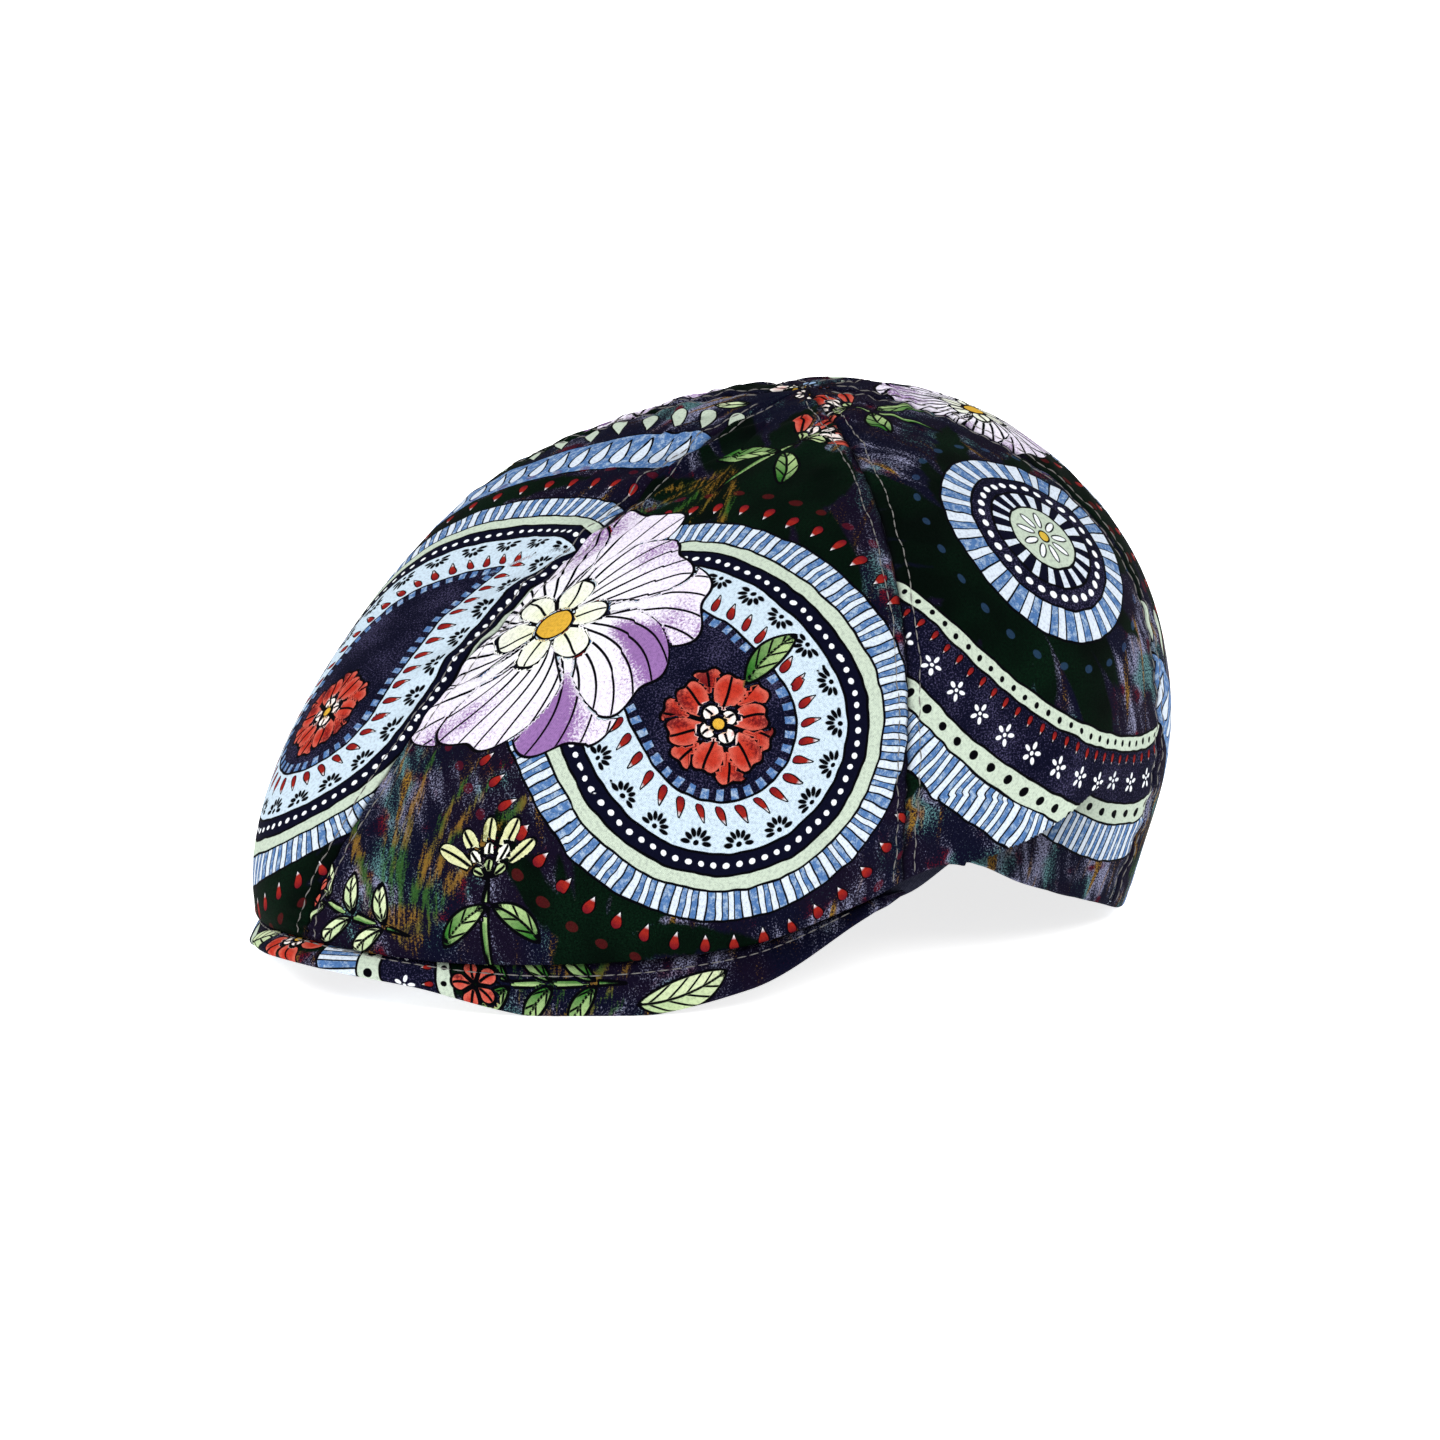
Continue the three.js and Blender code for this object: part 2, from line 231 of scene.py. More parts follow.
def clothDepth(angle, down):
    # seam valley and groove + puckers that run across the seam and fade away from it
    # + a dip under each stitch row + soft dents and three slow waves + slack wrinkles
    # + sharp creases
    nearest = nearestSeam(angle)
    away = np.abs(angle - nearest) * perDegree(angle, down)
    along = down * cloth["meridianLength"]
    radius = topRadius(angle, down)
    nearTop = np.clip(radius / cloth["topFade"], 0, 1)
    depth = cloth["seamValley"] * np.clip(1 - away / cloth["seamReach"], 0, 1) ** 2 * nearTop
    depth += cloth["groove"] * np.exp(-((away / cloth["grooveWidth"]) ** 2)) * np.clip(radius / 6, 0, 1)
    phase = along * 2 * np.pi / cloth["puckerSpacing"] + 1.7 * np.sin(along / 17 + nearest) + angle / 40
    swing = (0.65 + 0.35 * np.sin(along / 23 + nearest * 2)) * np.exp(-((away / cloth["puckerReach"]) ** 2))
    depth += cloth["pucker"] * swing * np.sin(phase) * nearTop
    stitched = np.exp(-(((away - cloth["stitchRow"]) / cloth["stitchDipWidth"]) ** 2))
    depth += cloth["stitchDip"] * stitched * nearTop
    for dent in dents:
        u, v = dentAxes(dent, angle, down, radius)
        depth += dent["depth"] * np.exp(-2.5 * ((u / dent["length"]) ** 2 + (v / dent["width"]) ** 2))
    x, y, z = np.moveaxis(crownPoint(angle, down), -1, 0)
    waves = np.sin(x / 11 + y / 17) + np.sin(y / 9.5 - z / 13 + 1) + np.sin(z / 8 + x / 19 + 2)
    depth += cloth["wave"] * waves * nearTop
    depth += cloth["slack"] * slackWrinkles(angle, away, down, nearest)
    depth *= np.clip((1 - down) / cloth["rimFade"], 0, 1)
    for crease in creases:
        # the cloth above swells out towards the crease and drops back sharply under it
        u, v = dentAxes(crease, angle, down, radius)
        under = between(v, -crease["sharp"], crease["sharp"])
        swell = 0.2 * under - (1 - under)
        depth += crease["drop"] * swell * np.exp(-np.abs(v) / crease["reach"] - (u / crease["length"]) ** 2)
    return depth


def hiddenCloth(angle, down):
    # how much cloth lies folded away above a place: it steps up under each crease
    radius = topRadius(angle, down)
    hidden = np.zeros(angle.shape)
    for crease in creases:
        u, v = dentAxes(crease, angle, down, radius)
        hidden += crease["hides"] * between(v, -0.4, 0.4) * np.exp(-((u / crease["length"]) ** 2))
    return hidden


def foldShade(angle, down):
    # painted shade: how little light reaches the cloth close under a crease, in the seams'
    #  grooves and between the slack wrinkles
    radius = topRadius(angle, down)
    shade = np.zeros(angle.shape)
    for crease in creases:
        u, v = dentAxes(crease, angle, down, radius)
        under = between(v, -0.6, 0.5) * np.exp(-((u / crease["length"] / shading["longer"]) ** 2))
        under = under * np.exp(-np.maximum(v, 0) / (1 + shading["reachPerDrop"] * crease["drop"]))
        shade = np.maximum(shade, under * min(crease["drop"] / shading["fullDrop"], 1))
    nearest = nearestSeam(angle)
    away = np.abs(angle - nearest) * np.radians(1) * radius
    shade = np.maximum(shade, shading["slack"] * slackWrinkles(angle, away, down, nearest))
    return np.maximum(shade, shading["groove"] * np.exp(-((away / shading["grooveWidth"]) ** 2)))


def clothPoint(angle, down):
    # the smooth crown, moved in along its normal by the cloth's depth
    return crownPoint(angle, down) - crownNormal(angle, down) * clothDepth(angle, down)[..., None]


# Laying a panel flat, so that its print keeps its true size: the lengths between
# neighbouring points of a coarse grid are kept while they settle on a plane
flatGrid = {"rows": 29, "columns": 15, "rounds": 700, "rate": 0.16}


def flatten(points):
    # first guess: distance along each row from the middle, distance down each column;
    # then every link pulls its two ends towards its true length
    rows = np.linspace(0, points.shape[0] - 1, flatGrid["rows"]).astype(int)
    columns = np.linspace(0, points.shape[1] - 1, flatGrid["columns"]).astype(int)
    across = lengthsAlong(points, 1)
    across -= across[:, points.shape[1] // 2][:, None]
    guess = stack(across, lengthsAlong(points, 0))
    coarse, start = points[np.ix_(rows, columns)], guess[np.ix_(rows, columns)]
    flat = start.copy()
    links = [
        (np.s_[1:, :], np.s_[:-1, :]),
        (np.s_[:, 1:], np.s_[:, :-1]),
        (np.s_[1:, 1:], np.s_[:-1, :-1]),
        (np.s_[1:, :-1], np.s_[:-1, 1:]),
    ]
    for _ in range(flatGrid["rounds"]):
        pull = np.zeros_like(flat)
        for a, b in links:
            link = flat[a] - flat[b]
            length = np.maximum(np.linalg.norm(link, axis=-1, keepdims=True), 1e-6)
            true = np.linalg.norm(coarse[a] - coarse[b], axis=-1, keepdims=True)
            step = link * (1 - true / length)
            pull[a] -= step
            pull[b] += step
        flat += flatGrid["rate"] * pull
    shift = flat - start
    allRows, allColumns = np.arange(points.shape[0]), np.arange(points.shape[1])
    wide = np.array([[np.interp(allColumns, columns, row[:, k]) for k in (0, 1)] for row in shift])
    full = [np.array([np.interp(allRows, rows, column) for column in wide[:, k].T]).T for k in (0, 1)]
    return guess + np.stack(full, -1)


# The print: fields on the flat cloth, u across and v down, in units of printScale
# millimetres. Each field is smooth, so that the material can draw crisp lines from it
# between the mesh's points.
printScale = 1.3
wheelSize = 21.0
sashWidths = {"band": 25.8, "garland": 11.5}
paisley = {"reach": 2.1, "points": 150, "curlPower": 1.4, "girthPower": 1.7, "taperPower": 0.95}


def turned(u, v, turn):
    # coordinates along and across a heading given in degrees
    c, s = math.cos(math.radians(turn)), math.sin(math.radians(turn))
    return u * c + v * s, v * c - u * s


def paisleyField(u, v, row):
    # a round that shrinks to nothing along a curling spine: the depth inside its outline,
    # the distance along the outline from the middle of the round end, and how far the
    # outline has turned by there
    size = row["size"]
    x, y = turned(u, v, row["turn"])
    steps = np.linspace(0, 1, paisley["points"])
    heading = math.radians(row["curl"]) * steps ** paisley["curlPower"]
    stride = paisley["reach"] * size / (len(steps) - 1)
    spineX = np.concatenate([[0], np.cumsum(np.cos(heading[:-1]) * stride)])
    spineY = np.concatenate([[0], np.cumsum(np.sin(heading[:-1]) * stride)])
    girth = size * (1 - steps ** paisley["girthPower"]) ** paisley["taperPower"]
    best = np.full(x.shape, -1e9)
    place = np.zeros(x.shape, int)
    for i in range(len(steps)):
        depth = girth[i] - np.hypot(x - spineX[i], y - spineY[i])
        closer = depth > best
        best = np.where(closer, depth, best)
        place = np.where(closer, i, place)
    dx, dy = x - spineX[place], y - spineY[place]
    far = np.maximum(np.hypot(dx, dy), 1e-6)
    ahead = (dx * np.cos(heading[place]) + dy * np.sin(heading[place])) / far
    aside = dy * np.cos(heading[place]) - dx * np.sin(heading[place])
    side = np.sign(aside)

    # the exact foot on the spine, between its points, by one step of Newton's method
    thinning = np.clip(np.gradient(girth, stride), -0.98, 0)
    bending = np.gradient(thinning, stride)[place]
    curving = np.gradient(heading, stride)[place]
    sharpness = (1 - ahead**2 - curving * aside) / far - bending
    refine = np.clip((thinning[place] + ahead) / np.maximum(sharpness, 1e-3) / stride, -1, 1)
    exact = np.where(place == 0, 0, place + refine)

    # length along the outline: the spine's own, and what the outline gains while it turns
    # with the taper, less or more where the spine curls towards it or away
    knots = np.arange(len(steps))
    tapered = np.arccos(thinning)
    own = np.sqrt(1 - thinning[:-1] ** 2) * stride + girth[:-1] * np.diff(tapered)
    lengths = np.concatenate([[0], np.cumsum(own)])
    curled = np.concatenate([[0], np.cumsum(girth[:-1] * np.diff(heading))])
    bearing = np.arccos(np.clip(-ahead, -1, 1))
    roundEnd = np.minimum(bearing - np.pi / 2, 0) * size
    run = np.where(place == 0, roundEnd, np.interp(exact, knots, lengths))
    run += size * np.pi / 2 - side * np.interp(exact, knots, curled)
    turning = np.where(place == 0, bearing, np.interp(exact, knots, tapered))
    turning = turning - side * np.interp(exact, knots, heading)
    return best, stack(best, side * run, side * turning)


def sashField(u, v, row):
    # a belt along an arc: depth in from its outer edge, distance along it, and its design
    x, y = turned(u, v, row["turn"])
    width, radius = sashWidths[row["motif"]], row["radius"]
    depth = radius - np.hypot(x, y - radius) + width / 2
    design = list(sashWidths).index(row["motif"])
    return np.minimum(depth, width - depth), stack(depth, np.arctan2(x, radius - y) * radius, float(design))


def wheelField(u, v, row):
    # depth in from the wheel's rim, and the place on the wheel
    return wheelSize - np.hypot(u, v), stack(u, v, 0.0)


beltFields = {"paisley": paisleyField, "band": sashField, "garland": sashField, "wheel": wheelField}
beltLayers = {"paisley": "paisley", "band": "sash", "garland": "sash", "wheel": "wheel"}
petal = {"uneven": 0.06, "rounding": 0.58, "roundPower": 2.4, "fullFrom": 0.1, "fullAt": 0.75, "sway": 0.16}
blade = {"width": 0.36, "bend": 0.25, "fullness": 0.8, "veinSpacing": 3.4}


def bloom(u, v, row):
    # petals in equal sectors of a spread: inside where the rounded tip, the base circle
    # and both sides of the sector all lie further out. Veins fan out from the base.
    size, tint = row["size"], row["tint"]
    x, y = turned(u, v, row["turn"])
    radius = np.hypot(x, y)
    outward = radius / size
    spread = math.radians(row.get("spread", 360))
    sector = spread / row["petals"]
    bearing = np.arctan2(y, x) - math.radians(row.get("twist", 0)) * np.clip(outward, 0, 1.3) ** 1.3
    most = (row["petals"] - 1) / 2
    shift = 0 if row["petals"] % 2 else 0.5
    number = np.round(bearing / sector - shift) + shift
    if "spread" in row:
        number = np.clip(number, -most, most)
    off = bearing - number * sector
    share = np.clip(off / (sector / 2), -1.6, 1.6)
    notch = row.get("notch", 0) * np.exp(-((share / 0.25) ** 2))
    tip = 1 - petal["rounding"] * np.abs(share) ** petal["roundPower"] - notch
    reach = size * (1 + petal["uneven"] * np.sin(number * 2.4)) * tip
    full = 1 - row.get("apart", 0) * (1 - between(outward, petal["fullFrom"], petal["fullAt"]))
    side = radius * np.sin(np.clip(sector / 2 * full - np.abs(off), -1.4, 1.4)) - 0.25
    depth = np.minimum(np.minimum((reach - radius) * 0.85, side), radius - size * row.get("core", 0.12))
    sway = petal["sway"] * np.sin(outward * 4.2 + number * 1.7) * outward
    vein = (share + sway) * row["veins"] * (0.75 + 0.25 * np.clip(outward, 0, 1))
    spacing = radius * sector / 2 / row["veins"]
    glow = between(outward, 0.2, 0.85)[..., None]
    colour = tint["base"] * (1 - glow) + tint["tip"] * glow
    edge = between(depth, 0.2, 1.6)[..., None]
    colour = tint["edge"] * (1 - edge) + colour * edge
    lean = np.sin(number * 1.9 + size)
    patch = np.exp(-(((share - 0.5 * lean) / 0.33) ** 2)) * between(outward, 0.3, 0.62)
    patch = patch * (0.55 + 0.45 * np.cos(number * 2.2)) + tint["tipStain"] * glow[..., 0] ** 3
    return depth, vein, spacing, colour, tint["amount"] * np.clip(patch, 0, 1), tint["stain"]


def disc(u, v, row):
    # a round spot of one colour, without veins
    depth = row["size"] - np.hypot(u, v)
    colour = row["tint"]["tip"] * np.ones(u.shape + (3,))
    return depth, np.full(u.shape, 0.5), np.full(u.shape, 9.0), colour, 0 * u, row["tint"]["stain"]


def leafShape(u, v, row):
    # two arcs that meet in points: half the width at each place along the leaf, less the
    # distance from its bent middle line. Gives the places along and across it as well.
    length = row["size"]
    x, y = turned(u, v, row["turn"])
    s = x / length
    y = y - row.get("bend", blade["bend"]) * (s * s - 0.25) * length
    rounded = np.clip(1 - (2 * s) ** 2, 0, 1) ** blade["fullness"]
    half = row.get("width", blade["width"]) * length / 2 * rounded
    beyond = -np.hypot((np.abs(s) - 0.5) * length, y)
    return np.where(np.abs(s) < 0.5, (half - np.abs(y)) * 0.9, beyond), s, y


def leaf(u, v, row):
    # a leaf's shape with a line along its middle and slanting veins
    inside, s, y = leafShape(u, v, row)
    depth, vein, spacing, colour, stain, dark = stem(u, v, row)
    vein = s * row["size"] / blade["veinSpacing"] - np.abs(y) * 0.5
    return np.minimum(inside, np.abs(y) - 0.05), vein, spacing, colour, stain, dark


def stem(u, v, row):
    # a leaf's shape, lighter towards its tip and on one side, without veins
    tint = row["tint"]
    inside, s, y = leafShape(u, v, row)
    share = np.clip(s + 0.5 + 0.25 * np.sign(y), 0, 1)[..., None]
    colour = tint["base"] * (1 - share) + tint["tip"] * share
    stain = tint["amount"] * between(np.abs(s), 0.1, 0.5)
    return inside, np.full(u.shape, 0.5), np.full(u.shape, 2.2), colour, stain, tint["stain"]


def tintRow(tip, base, edge, stain, amount=0.0, tipStain=0.0):
    # colours from a petal's tip to its base, round its edge, and of the stippled stain
    colours = {"tip": tip, "base": base, "edge": edge, "stain": stain}
    tint = {name: np.array(value) for name, value in colours.items()}
    tint["amount"], tint["tipStain"] = amount, tipStain
    return tint


tints = {
    "lilac": tintRow((0.76, 0.71, 0.82), (0.82, 0.81, 0.86), (0.76, 0.72, 0.82), (0.17, 0.03, 0.26), 1, 0.22),
    "red": tintRow(
        (0.4, 0.026, 0.014), (0.49, 0.055, 0.033), (0.52, 0.1, 0.07), (0.1, 0.004, 0.008), 0.7, 0.3),
    "rose": tintRow((0.80, 0.66, 0.62), (0.5, 0.05, 0.03), (0.84, 0.80, 0.76), (0.4, 0.03, 0.02), 0.4),
    "green": tintRow((0.36, 0.50, 0.22), (0.03, 0.14, 0.02), (0.4, 0.5, 0.25), (0.01, 0.06, 0.01), 0.75),
    "sage": tintRow((0.62, 0.70, 0.44), (0.40, 0.52, 0.28), (0.62, 0.70, 0.44), (0.2, 0.3, 0.1), 0.3),
    "olive": tintRow((0.56, 0.58, 0.30), (0.34, 0.36, 0.14), (0.6, 0.62, 0.36), (0.16, 0.16, 0.04), 0.7),
    "cream": tintRow((0.78, 0.80, 0.68), (0.7, 0.74, 0.5), (0.78, 0.8, 0.7), (0.4, 0.4, 0.2), 0.2),
    "amber": tintRow((0.62, 0.36, 0.04), (0.62, 0.36, 0.04), (0.62, 0.36, 0.04), (0.3, 0.12, 0.01), 0.3),
    "blue": tintRow((0.10, 0.20, 0.42), (0.4, 0.55, 0.72), (0.3, 0.45, 0.66), (0.03, 0.05, 0.16), 0.6),
}


def away(distance, heading):
    # a step of that distance along a heading in degrees
    return distance * math.cos(math.radians(heading)), distance * math.sin(math.radians(heading))


def blossomParts(row):
    # two layers of petals, a ring of small petals and a round middle
    size, turn, count = row["size"], row["turn"], row["petals"]
    large = size > 15
    front = {"size": size * 0.9, "turn": turn, "petals": count, "tint": row["tint"], "notch": 0.1,
             "veins": 4 if large else 1, "twist": 25 if large else 8, "apart": 0.4 if large else 0}
    ring = {"size": size * 0.34, "turn": turn, "petals": 6 if large else 4, "tint": row["heart"], "veins": 1}
    parts = [(bloom, 0, 0, dict(front, size=size, turn=turn + 0.45 * 360 / count))] if size > 9 else []
    parts += [(bloom, 0, 0, front), (bloom, 0, 0, ring)]
    parts.append((disc, 0, 0, {"size": size * 0.11, "tint": "amber"}))
    return parts


def tulipParts(row):
    # a stem with two leaves, a fan of petals and a cup of short green ones
    size, turn = row["size"], row["turn"]
    parts = [(stem, *away(-size * 0.75, turn), {"size": size * 1.6, "width": 0.07, "turn": turn, "bend": 0.2,
                                                "tint": "green"})]
    for side in (-1, 1):
        part = {"size": size * 0.95, "turn": turn + 50 * side, "bend": 0.3 * side, "tint": "green"}
        parts.append((leaf, *away(-size * 0.8, turn + 32 * side), part))
    fan = {"size": size, "turn": turn, "petals": 5, "spread": row["spread"], "tint": row["tint"],
           "veins": 1, "core": 0.1}
    parts.append((bloom, 0, 0, fan))
    parts.append((bloom, 0, 0, dict(fan, size=size * 0.6, petals=3, spread=90, tint=row["heart"])))
    parts.append((bloom, 0, 0, dict(fan, size=size * 0.34, petals=3, spread=150, tint="green")))
    return parts


def sprigParts(row):
    # three pairs of leaves along a bent stem, with a bud at its end
    size, turn, bend = row["size"], row["turn"], 0.22
    parts = [(stem, 0, 0, {"size": size, "width": 0.05, "turn": turn, "bend": bend, "tint": "green"})]
    for s in (-0.3, 0.0, 0.3):
        du, dv = away(size * s, turn)
        dip = bend * (s * s - 0.25) * size
        du, dv = du - dip * math.sin(math.radians(turn)), dv + dip * math.cos(math.radians(turn))
        for side in (-1, 1):
            lean = turn + 52 * side
            eu, ev = away(size * 0.19, lean)
            part = {"size": size * 0.34, "turn": lean, "tint": row["tint"], "bend": 0.25 * side}
            parts.append((leaf, du + eu, dv + ev, part))
    bud = {"size": size * 0.17, "turn": turn, "petals": 5, "tint": row["heart"], "veins": 1}
    parts.append((bloom, *away(size * 0.55, turn), bud))
    return parts


def leafParts(row):
    return [(leaf, 0, 0, row)]


paintedParts = {"blossom": blossomParts, "rosette": blossomParts, "tulip": tulipParts, "sprig": sprigParts,
                "leaf": leafParts}


def addPainted(fields, u, v, parts):
    # each shape covers what lies under it, out to just beyond its outline
    for draw, du, dv, row in parts:
        depth, vein, spacing, colour, amount, stain = draw(u - du, v - dv, dict(row, tint=tints[row["tint"]]))
        keep = (depth > -0.6) | (depth > fields["shape"][..., 0])
        fields["shape"][keep] = stack(depth, vein, spacing)[keep]
        fields["paint"][keep, :3] = colour[keep]
        fields["paint"][keep, 3] = amount[keep]
        fields["stain"][keep, :3] = stain


def addBelt(fields, u, v, row):
    # the nearest motif of a layer wins, so that the depth inside it stays continuous
    inside, field = beltFields[row["motif"]](u, v, row)
    layer = beltLayers[row["motif"]]
    keep = inside > fields[layer + "Inside"]
    fields[layer + "Inside"][keep] = inside[keep]
    fields[layer][keep] = field[keep]
    fields["cover"] = np.maximum(fields["cover"], inside)


bladeWidths = {"frond": 0.17, "grass": 0.06}


def addBlades(fields, u, v, row):
    # bent and pointed blades that fan out: broad ones out of a dark middle for a frond,
    # thin ones for grass
    name = row["motif"]
    if name == "frond":
        fields[name] = np.maximum(fields[name], row["size"] * 0.26 - np.hypot(u, v))
    for k in range(row["blades"]):
        heading = row["turn"] + row["spread"] * (k / (row["blades"] - 1) - 0.5)
        length = row["size"] * (0.78 + 0.22 * math.cos(k * 2.3))
        du, dv = away(length * 0.5, heading)
        shape = {"size": length, "width": bladeWidths[name], "turn": heading, "bend": 0.3}
        fields[name] = np.maximum(fields[name], leafShape(u - du, v - dv, shape)[0])


fillers = (
    {"motif": "sprig", "tint": "green", "heart": "red", "share": 1.6},
    {"motif": "tulip", "tint": "red", "heart": "rose", "spread": 150, "share": 0.7},
    {"motif": "blossom", "tint": "rose", "heart": "cream", "petals": 5, "share": 0.7},
    {"motif": "leaf", "tint": "sage", "width": 0.42, "share": 1.6},
    {"motif": "blossom", "tint": "blue", "heart": "cream", "petals": 6, "share": 0.7},
)
filling = {"clear": 3.0, "smallest": 6, "largest": 11.5, "share": 0.7}


def scatter(fields, u, v, seed, tries):
    # small motifs at random places that are still clear, largest where there is most room
    rng = np.random.default_rng(seed)
    for k in range(tries):
        i = rng.integers(0, u.size)
        turn = rng.uniform(0, 360)
        room = -max(fields["cover"].flat[i] + 4, fields["shape"][..., 0].flat[i]) - filling["clear"]
        if room < filling["smallest"]:
            continue
        row = fillers[k % len(fillers)]
        size = min(room * filling["share"], filling["largest"]) * row["share"]
        parts = paintedParts[row["motif"]](dict(row, turn=turn, size=size))
        addPainted(fields, u - u.flat[i], v - v.flat[i], parts)


def printFields(u, v, layout, seed, tries):
    # each layer's nearest motif, the topmost painted shape and the blades at each point
    fields = {name: np.full(u.shape, -60.0) for name in ("cover", "frond", "grass")}
    fields["shape"] = np.full(u.shape + (3,), -60.0)
    fields["paint"], fields["stain"] = np.zeros(u.shape + (4,)), np.ones(u.shape + (4,))
    for layer in ("paisley", "sash", "wheel"):
        fields[layer] = np.full(u.shape + (3,), -60.0)
        fields[layer + "Inside"] = np.full(u.shape, -60.0)
    u, v = u / printScale, v / printScale
    for row in layout:
        du, dv = u - row["at"][0] / printScale, v - row["at"][1] / printScale
        if row["motif"] in beltFields:
            addBelt(fields, du, dv, row)
        elif row["motif"] in bladeWidths:
            addBlades(fields, du, dv, row)
        else:
            addPainted(fields, du, dv, paintedParts[row["motif"]](row))
    scatter(fields, u, v, seed, tries)
    return fields


# Meshes
def makeObject(name, points, faces, materials, materialIndex=0, flatFaces=()):
    # points in millimetres from the head opening's centre become metres in the cap's frame
    mesh = bpy.data.meshes.new(name)
    moved = points + np.array([0, cap["frontToCentre"], 0])
    mesh.from_pydata((moved * 0.001).tolist(), [], faces)
    for material in materials:
        mesh.materials.append(material)
    index = np.broadcast_to(np.asarray(materialIndex, np.int32), len(faces))
    mesh.polygons.foreach_set("material_index", np.ascontiguousarray(index))
    smooth = np.ones(len(faces), bool)
    smooth[list(flatFaces)] = False
    mesh.polygons.foreach_set("use_smooth", smooth)
    mesh.update()
    made = bpy.data.objects.new(name, mesh)
    bpy.context.scene.collection.objects.link(made)
    return made


def setUv(made, flat):
    # the flat cloth's own coordinates, in tenths of a metre
    corners = np.zeros(len(made.data.loops), np.int32)
    made.data.loops.foreach_get("vertex_index", corners)
    layer = made.data.uv_layers.new(name="cloth")
    layer.data.foreach_set("uv", (flat[corners] * 0.01).ravel().astype(np.float32))


def setFields(made, fields):
    # the print's fields, one attribute each, for the material to read
    kinds = {
        "vector": ("FLOAT_VECTOR", ("sash", "paisley", "wheel", "shape")),
        "color": ("FLOAT_COLOR", ("paint", "stain")),
        "value": ("FLOAT", ("sashInside", "frond", "grass", "shade")),
    }
    for socket, (kind, names) in kinds.items():
        for name in names:
            layer = made.data.attributes.new(name, kind, "POINT")
            layer.data.foreach_set(socket, fields[name].reshape(-1).astype(np.float32))


def gridFaces(grid, closedRows=False):
    # quads of a grid of point numbers, facing the side from which rows run down and
    # columns run right
    if closedRows:
        grid = np.concatenate([grid, grid[:1]], 0)
    return np.stack([grid[:-1, :-1], grid[1:, :-1], grid[1:, 1:], grid[:-1, 1:]], -1).reshape(-1, 4)


# Crown panels: a fine outer face that carries the print, a round turned edge at the rim,
# and a coarser inner face. The right ones mirror the left ones' seams.
panel = {
    "down": 300,
    "rollSteps": 6,
    "coarse": 4,
    "seamGap": 0.03,
    "tip": 0.002,
    "fillers": 40,
    "flatShift": (37, 61),
}
halves = {
    "front": {"from": 0, "to": cap["sideSeam"], "across": 184},
    "side": {"from": cap["sideSeam"], "to": cap["backSeam"], "across": 136},
    "back": {"from": cap["backSeam"], "to": 180, "across": 160},
}
usual = {
    "blossom": {"turn": 0, "petals": 5, "tint": "lilac", "heart": "cream"},
    "rosette": {"turn": 0, "petals": 6, "tint": "red", "heart": "rose"},
    "tulip": {"spread": 130, "tint": "red", "heart": "rose"},
    "sprig": {"tint": "sage", "heart": "red"},
    "leaf": {"tint": "sage"},
}


def motif(name, first, second, **measures):
    # one motif of the print, at an angle and a share down the crown, or a place on the peak
    return {"motif": name, "at": (first, second), **usual.get(name, {}), **measures}


layouts = {
    "front_left": [
        motif("frond", 62, 0.3, size=52, turn=170, spread=220, blades=11),
        motif("frond", 44, 1.0, size=32, turn=-75, spread=120, blades=9),
        motif("grass", 20, 1.06, size=46, turn=-90, spread=66, blades=9),
        motif("grass", 40, 0.22, size=34, turn=118, spread=80, blades=7),
        motif("paisley", 57, 0.71, size=35, turn=228, curl=-95),
        motif("blossom", 19, 0.45, size=34, turn=12),
        motif("rosette", 57, 0.71, size=11),
        motif("leaf", 63, 0.635, size=13, turn=-60, tint="green"),
        motif("tulip", 66, 0.2, size=13, turn=-60),
        motif("tulip", 30, 0.86, size=11, turn=-100, tint="olive", heart="cream"),
        motif("sprig", 10, 0.88, size=24, turn=200),
    ],
    "side_left": [
        motif("frond", 92, 0.6, size=54, turn=0, spread=330, blades=17),
        motif("band", 96, 0.89, radius=75, turn=203),
        motif("wheel", 104, 0.54),
        motif("tulip", 90, 0.14, size=12, turn=-115, spread=150),
    ],
    "back_left": [
        motif("frond", 126, 0.5, size=40, turn=20, spread=200, blades=10),
        motif("grass", 130, 0.98, size=34, turn=-85, spread=80, blades=7),
        motif("paisley", 160, 0.64, size=34, turn=-60, curl=95),
        motif("rosette", 160, 0.64, size=10),
        motif("blossom", 140, 0.3, size=19, turn=20),
        motif("garland", 132, 0.86, radius=55, turn=60),
    ],
    "front_right": [
        motif("frond", -60, 0.55, size=54, turn=20, spread=240, blades=12),
        motif("grass", -8, 0.36, size=30, turn=20, spread=90, blades=7),
        motif("frond", -10, 0.95, size=40, turn=-90, spread=160, blades=9),
        motif("paisley", -27, 0.66, size=35, turn=250, curl=95),
        motif("rosette", -27, 0.66, size=10),
        motif("blossom", -62, 0.8, size=24),
        motif("garland", -50, 0.25, radius=95, turn=-40),
    ],
    "side_right": [
        motif("frond", -88, 0.4, size=52, turn=150, spread=300, blades=14),
        motif("wheel", -103, 0.7),
        motif("blossom", -98, 0.32, size=19),
        motif("band", -84, 0.93, radius=60, turn=-40),
    ],
    "back_right": [
        motif("frond", -160, 0.8, size=40, turn=-60, spread=220, blades=10),
        motif("grass", -135, 0.98, size=34, turn=-95, spread=80, blades=7),
        motif("paisley", -147, 0.52, size=34, turn=80, curl=95),
        motif("rosette", -147, 0.52, size=10),
        motif("garland", -165, 0.3, radius=90, turn=60),
    ],
}


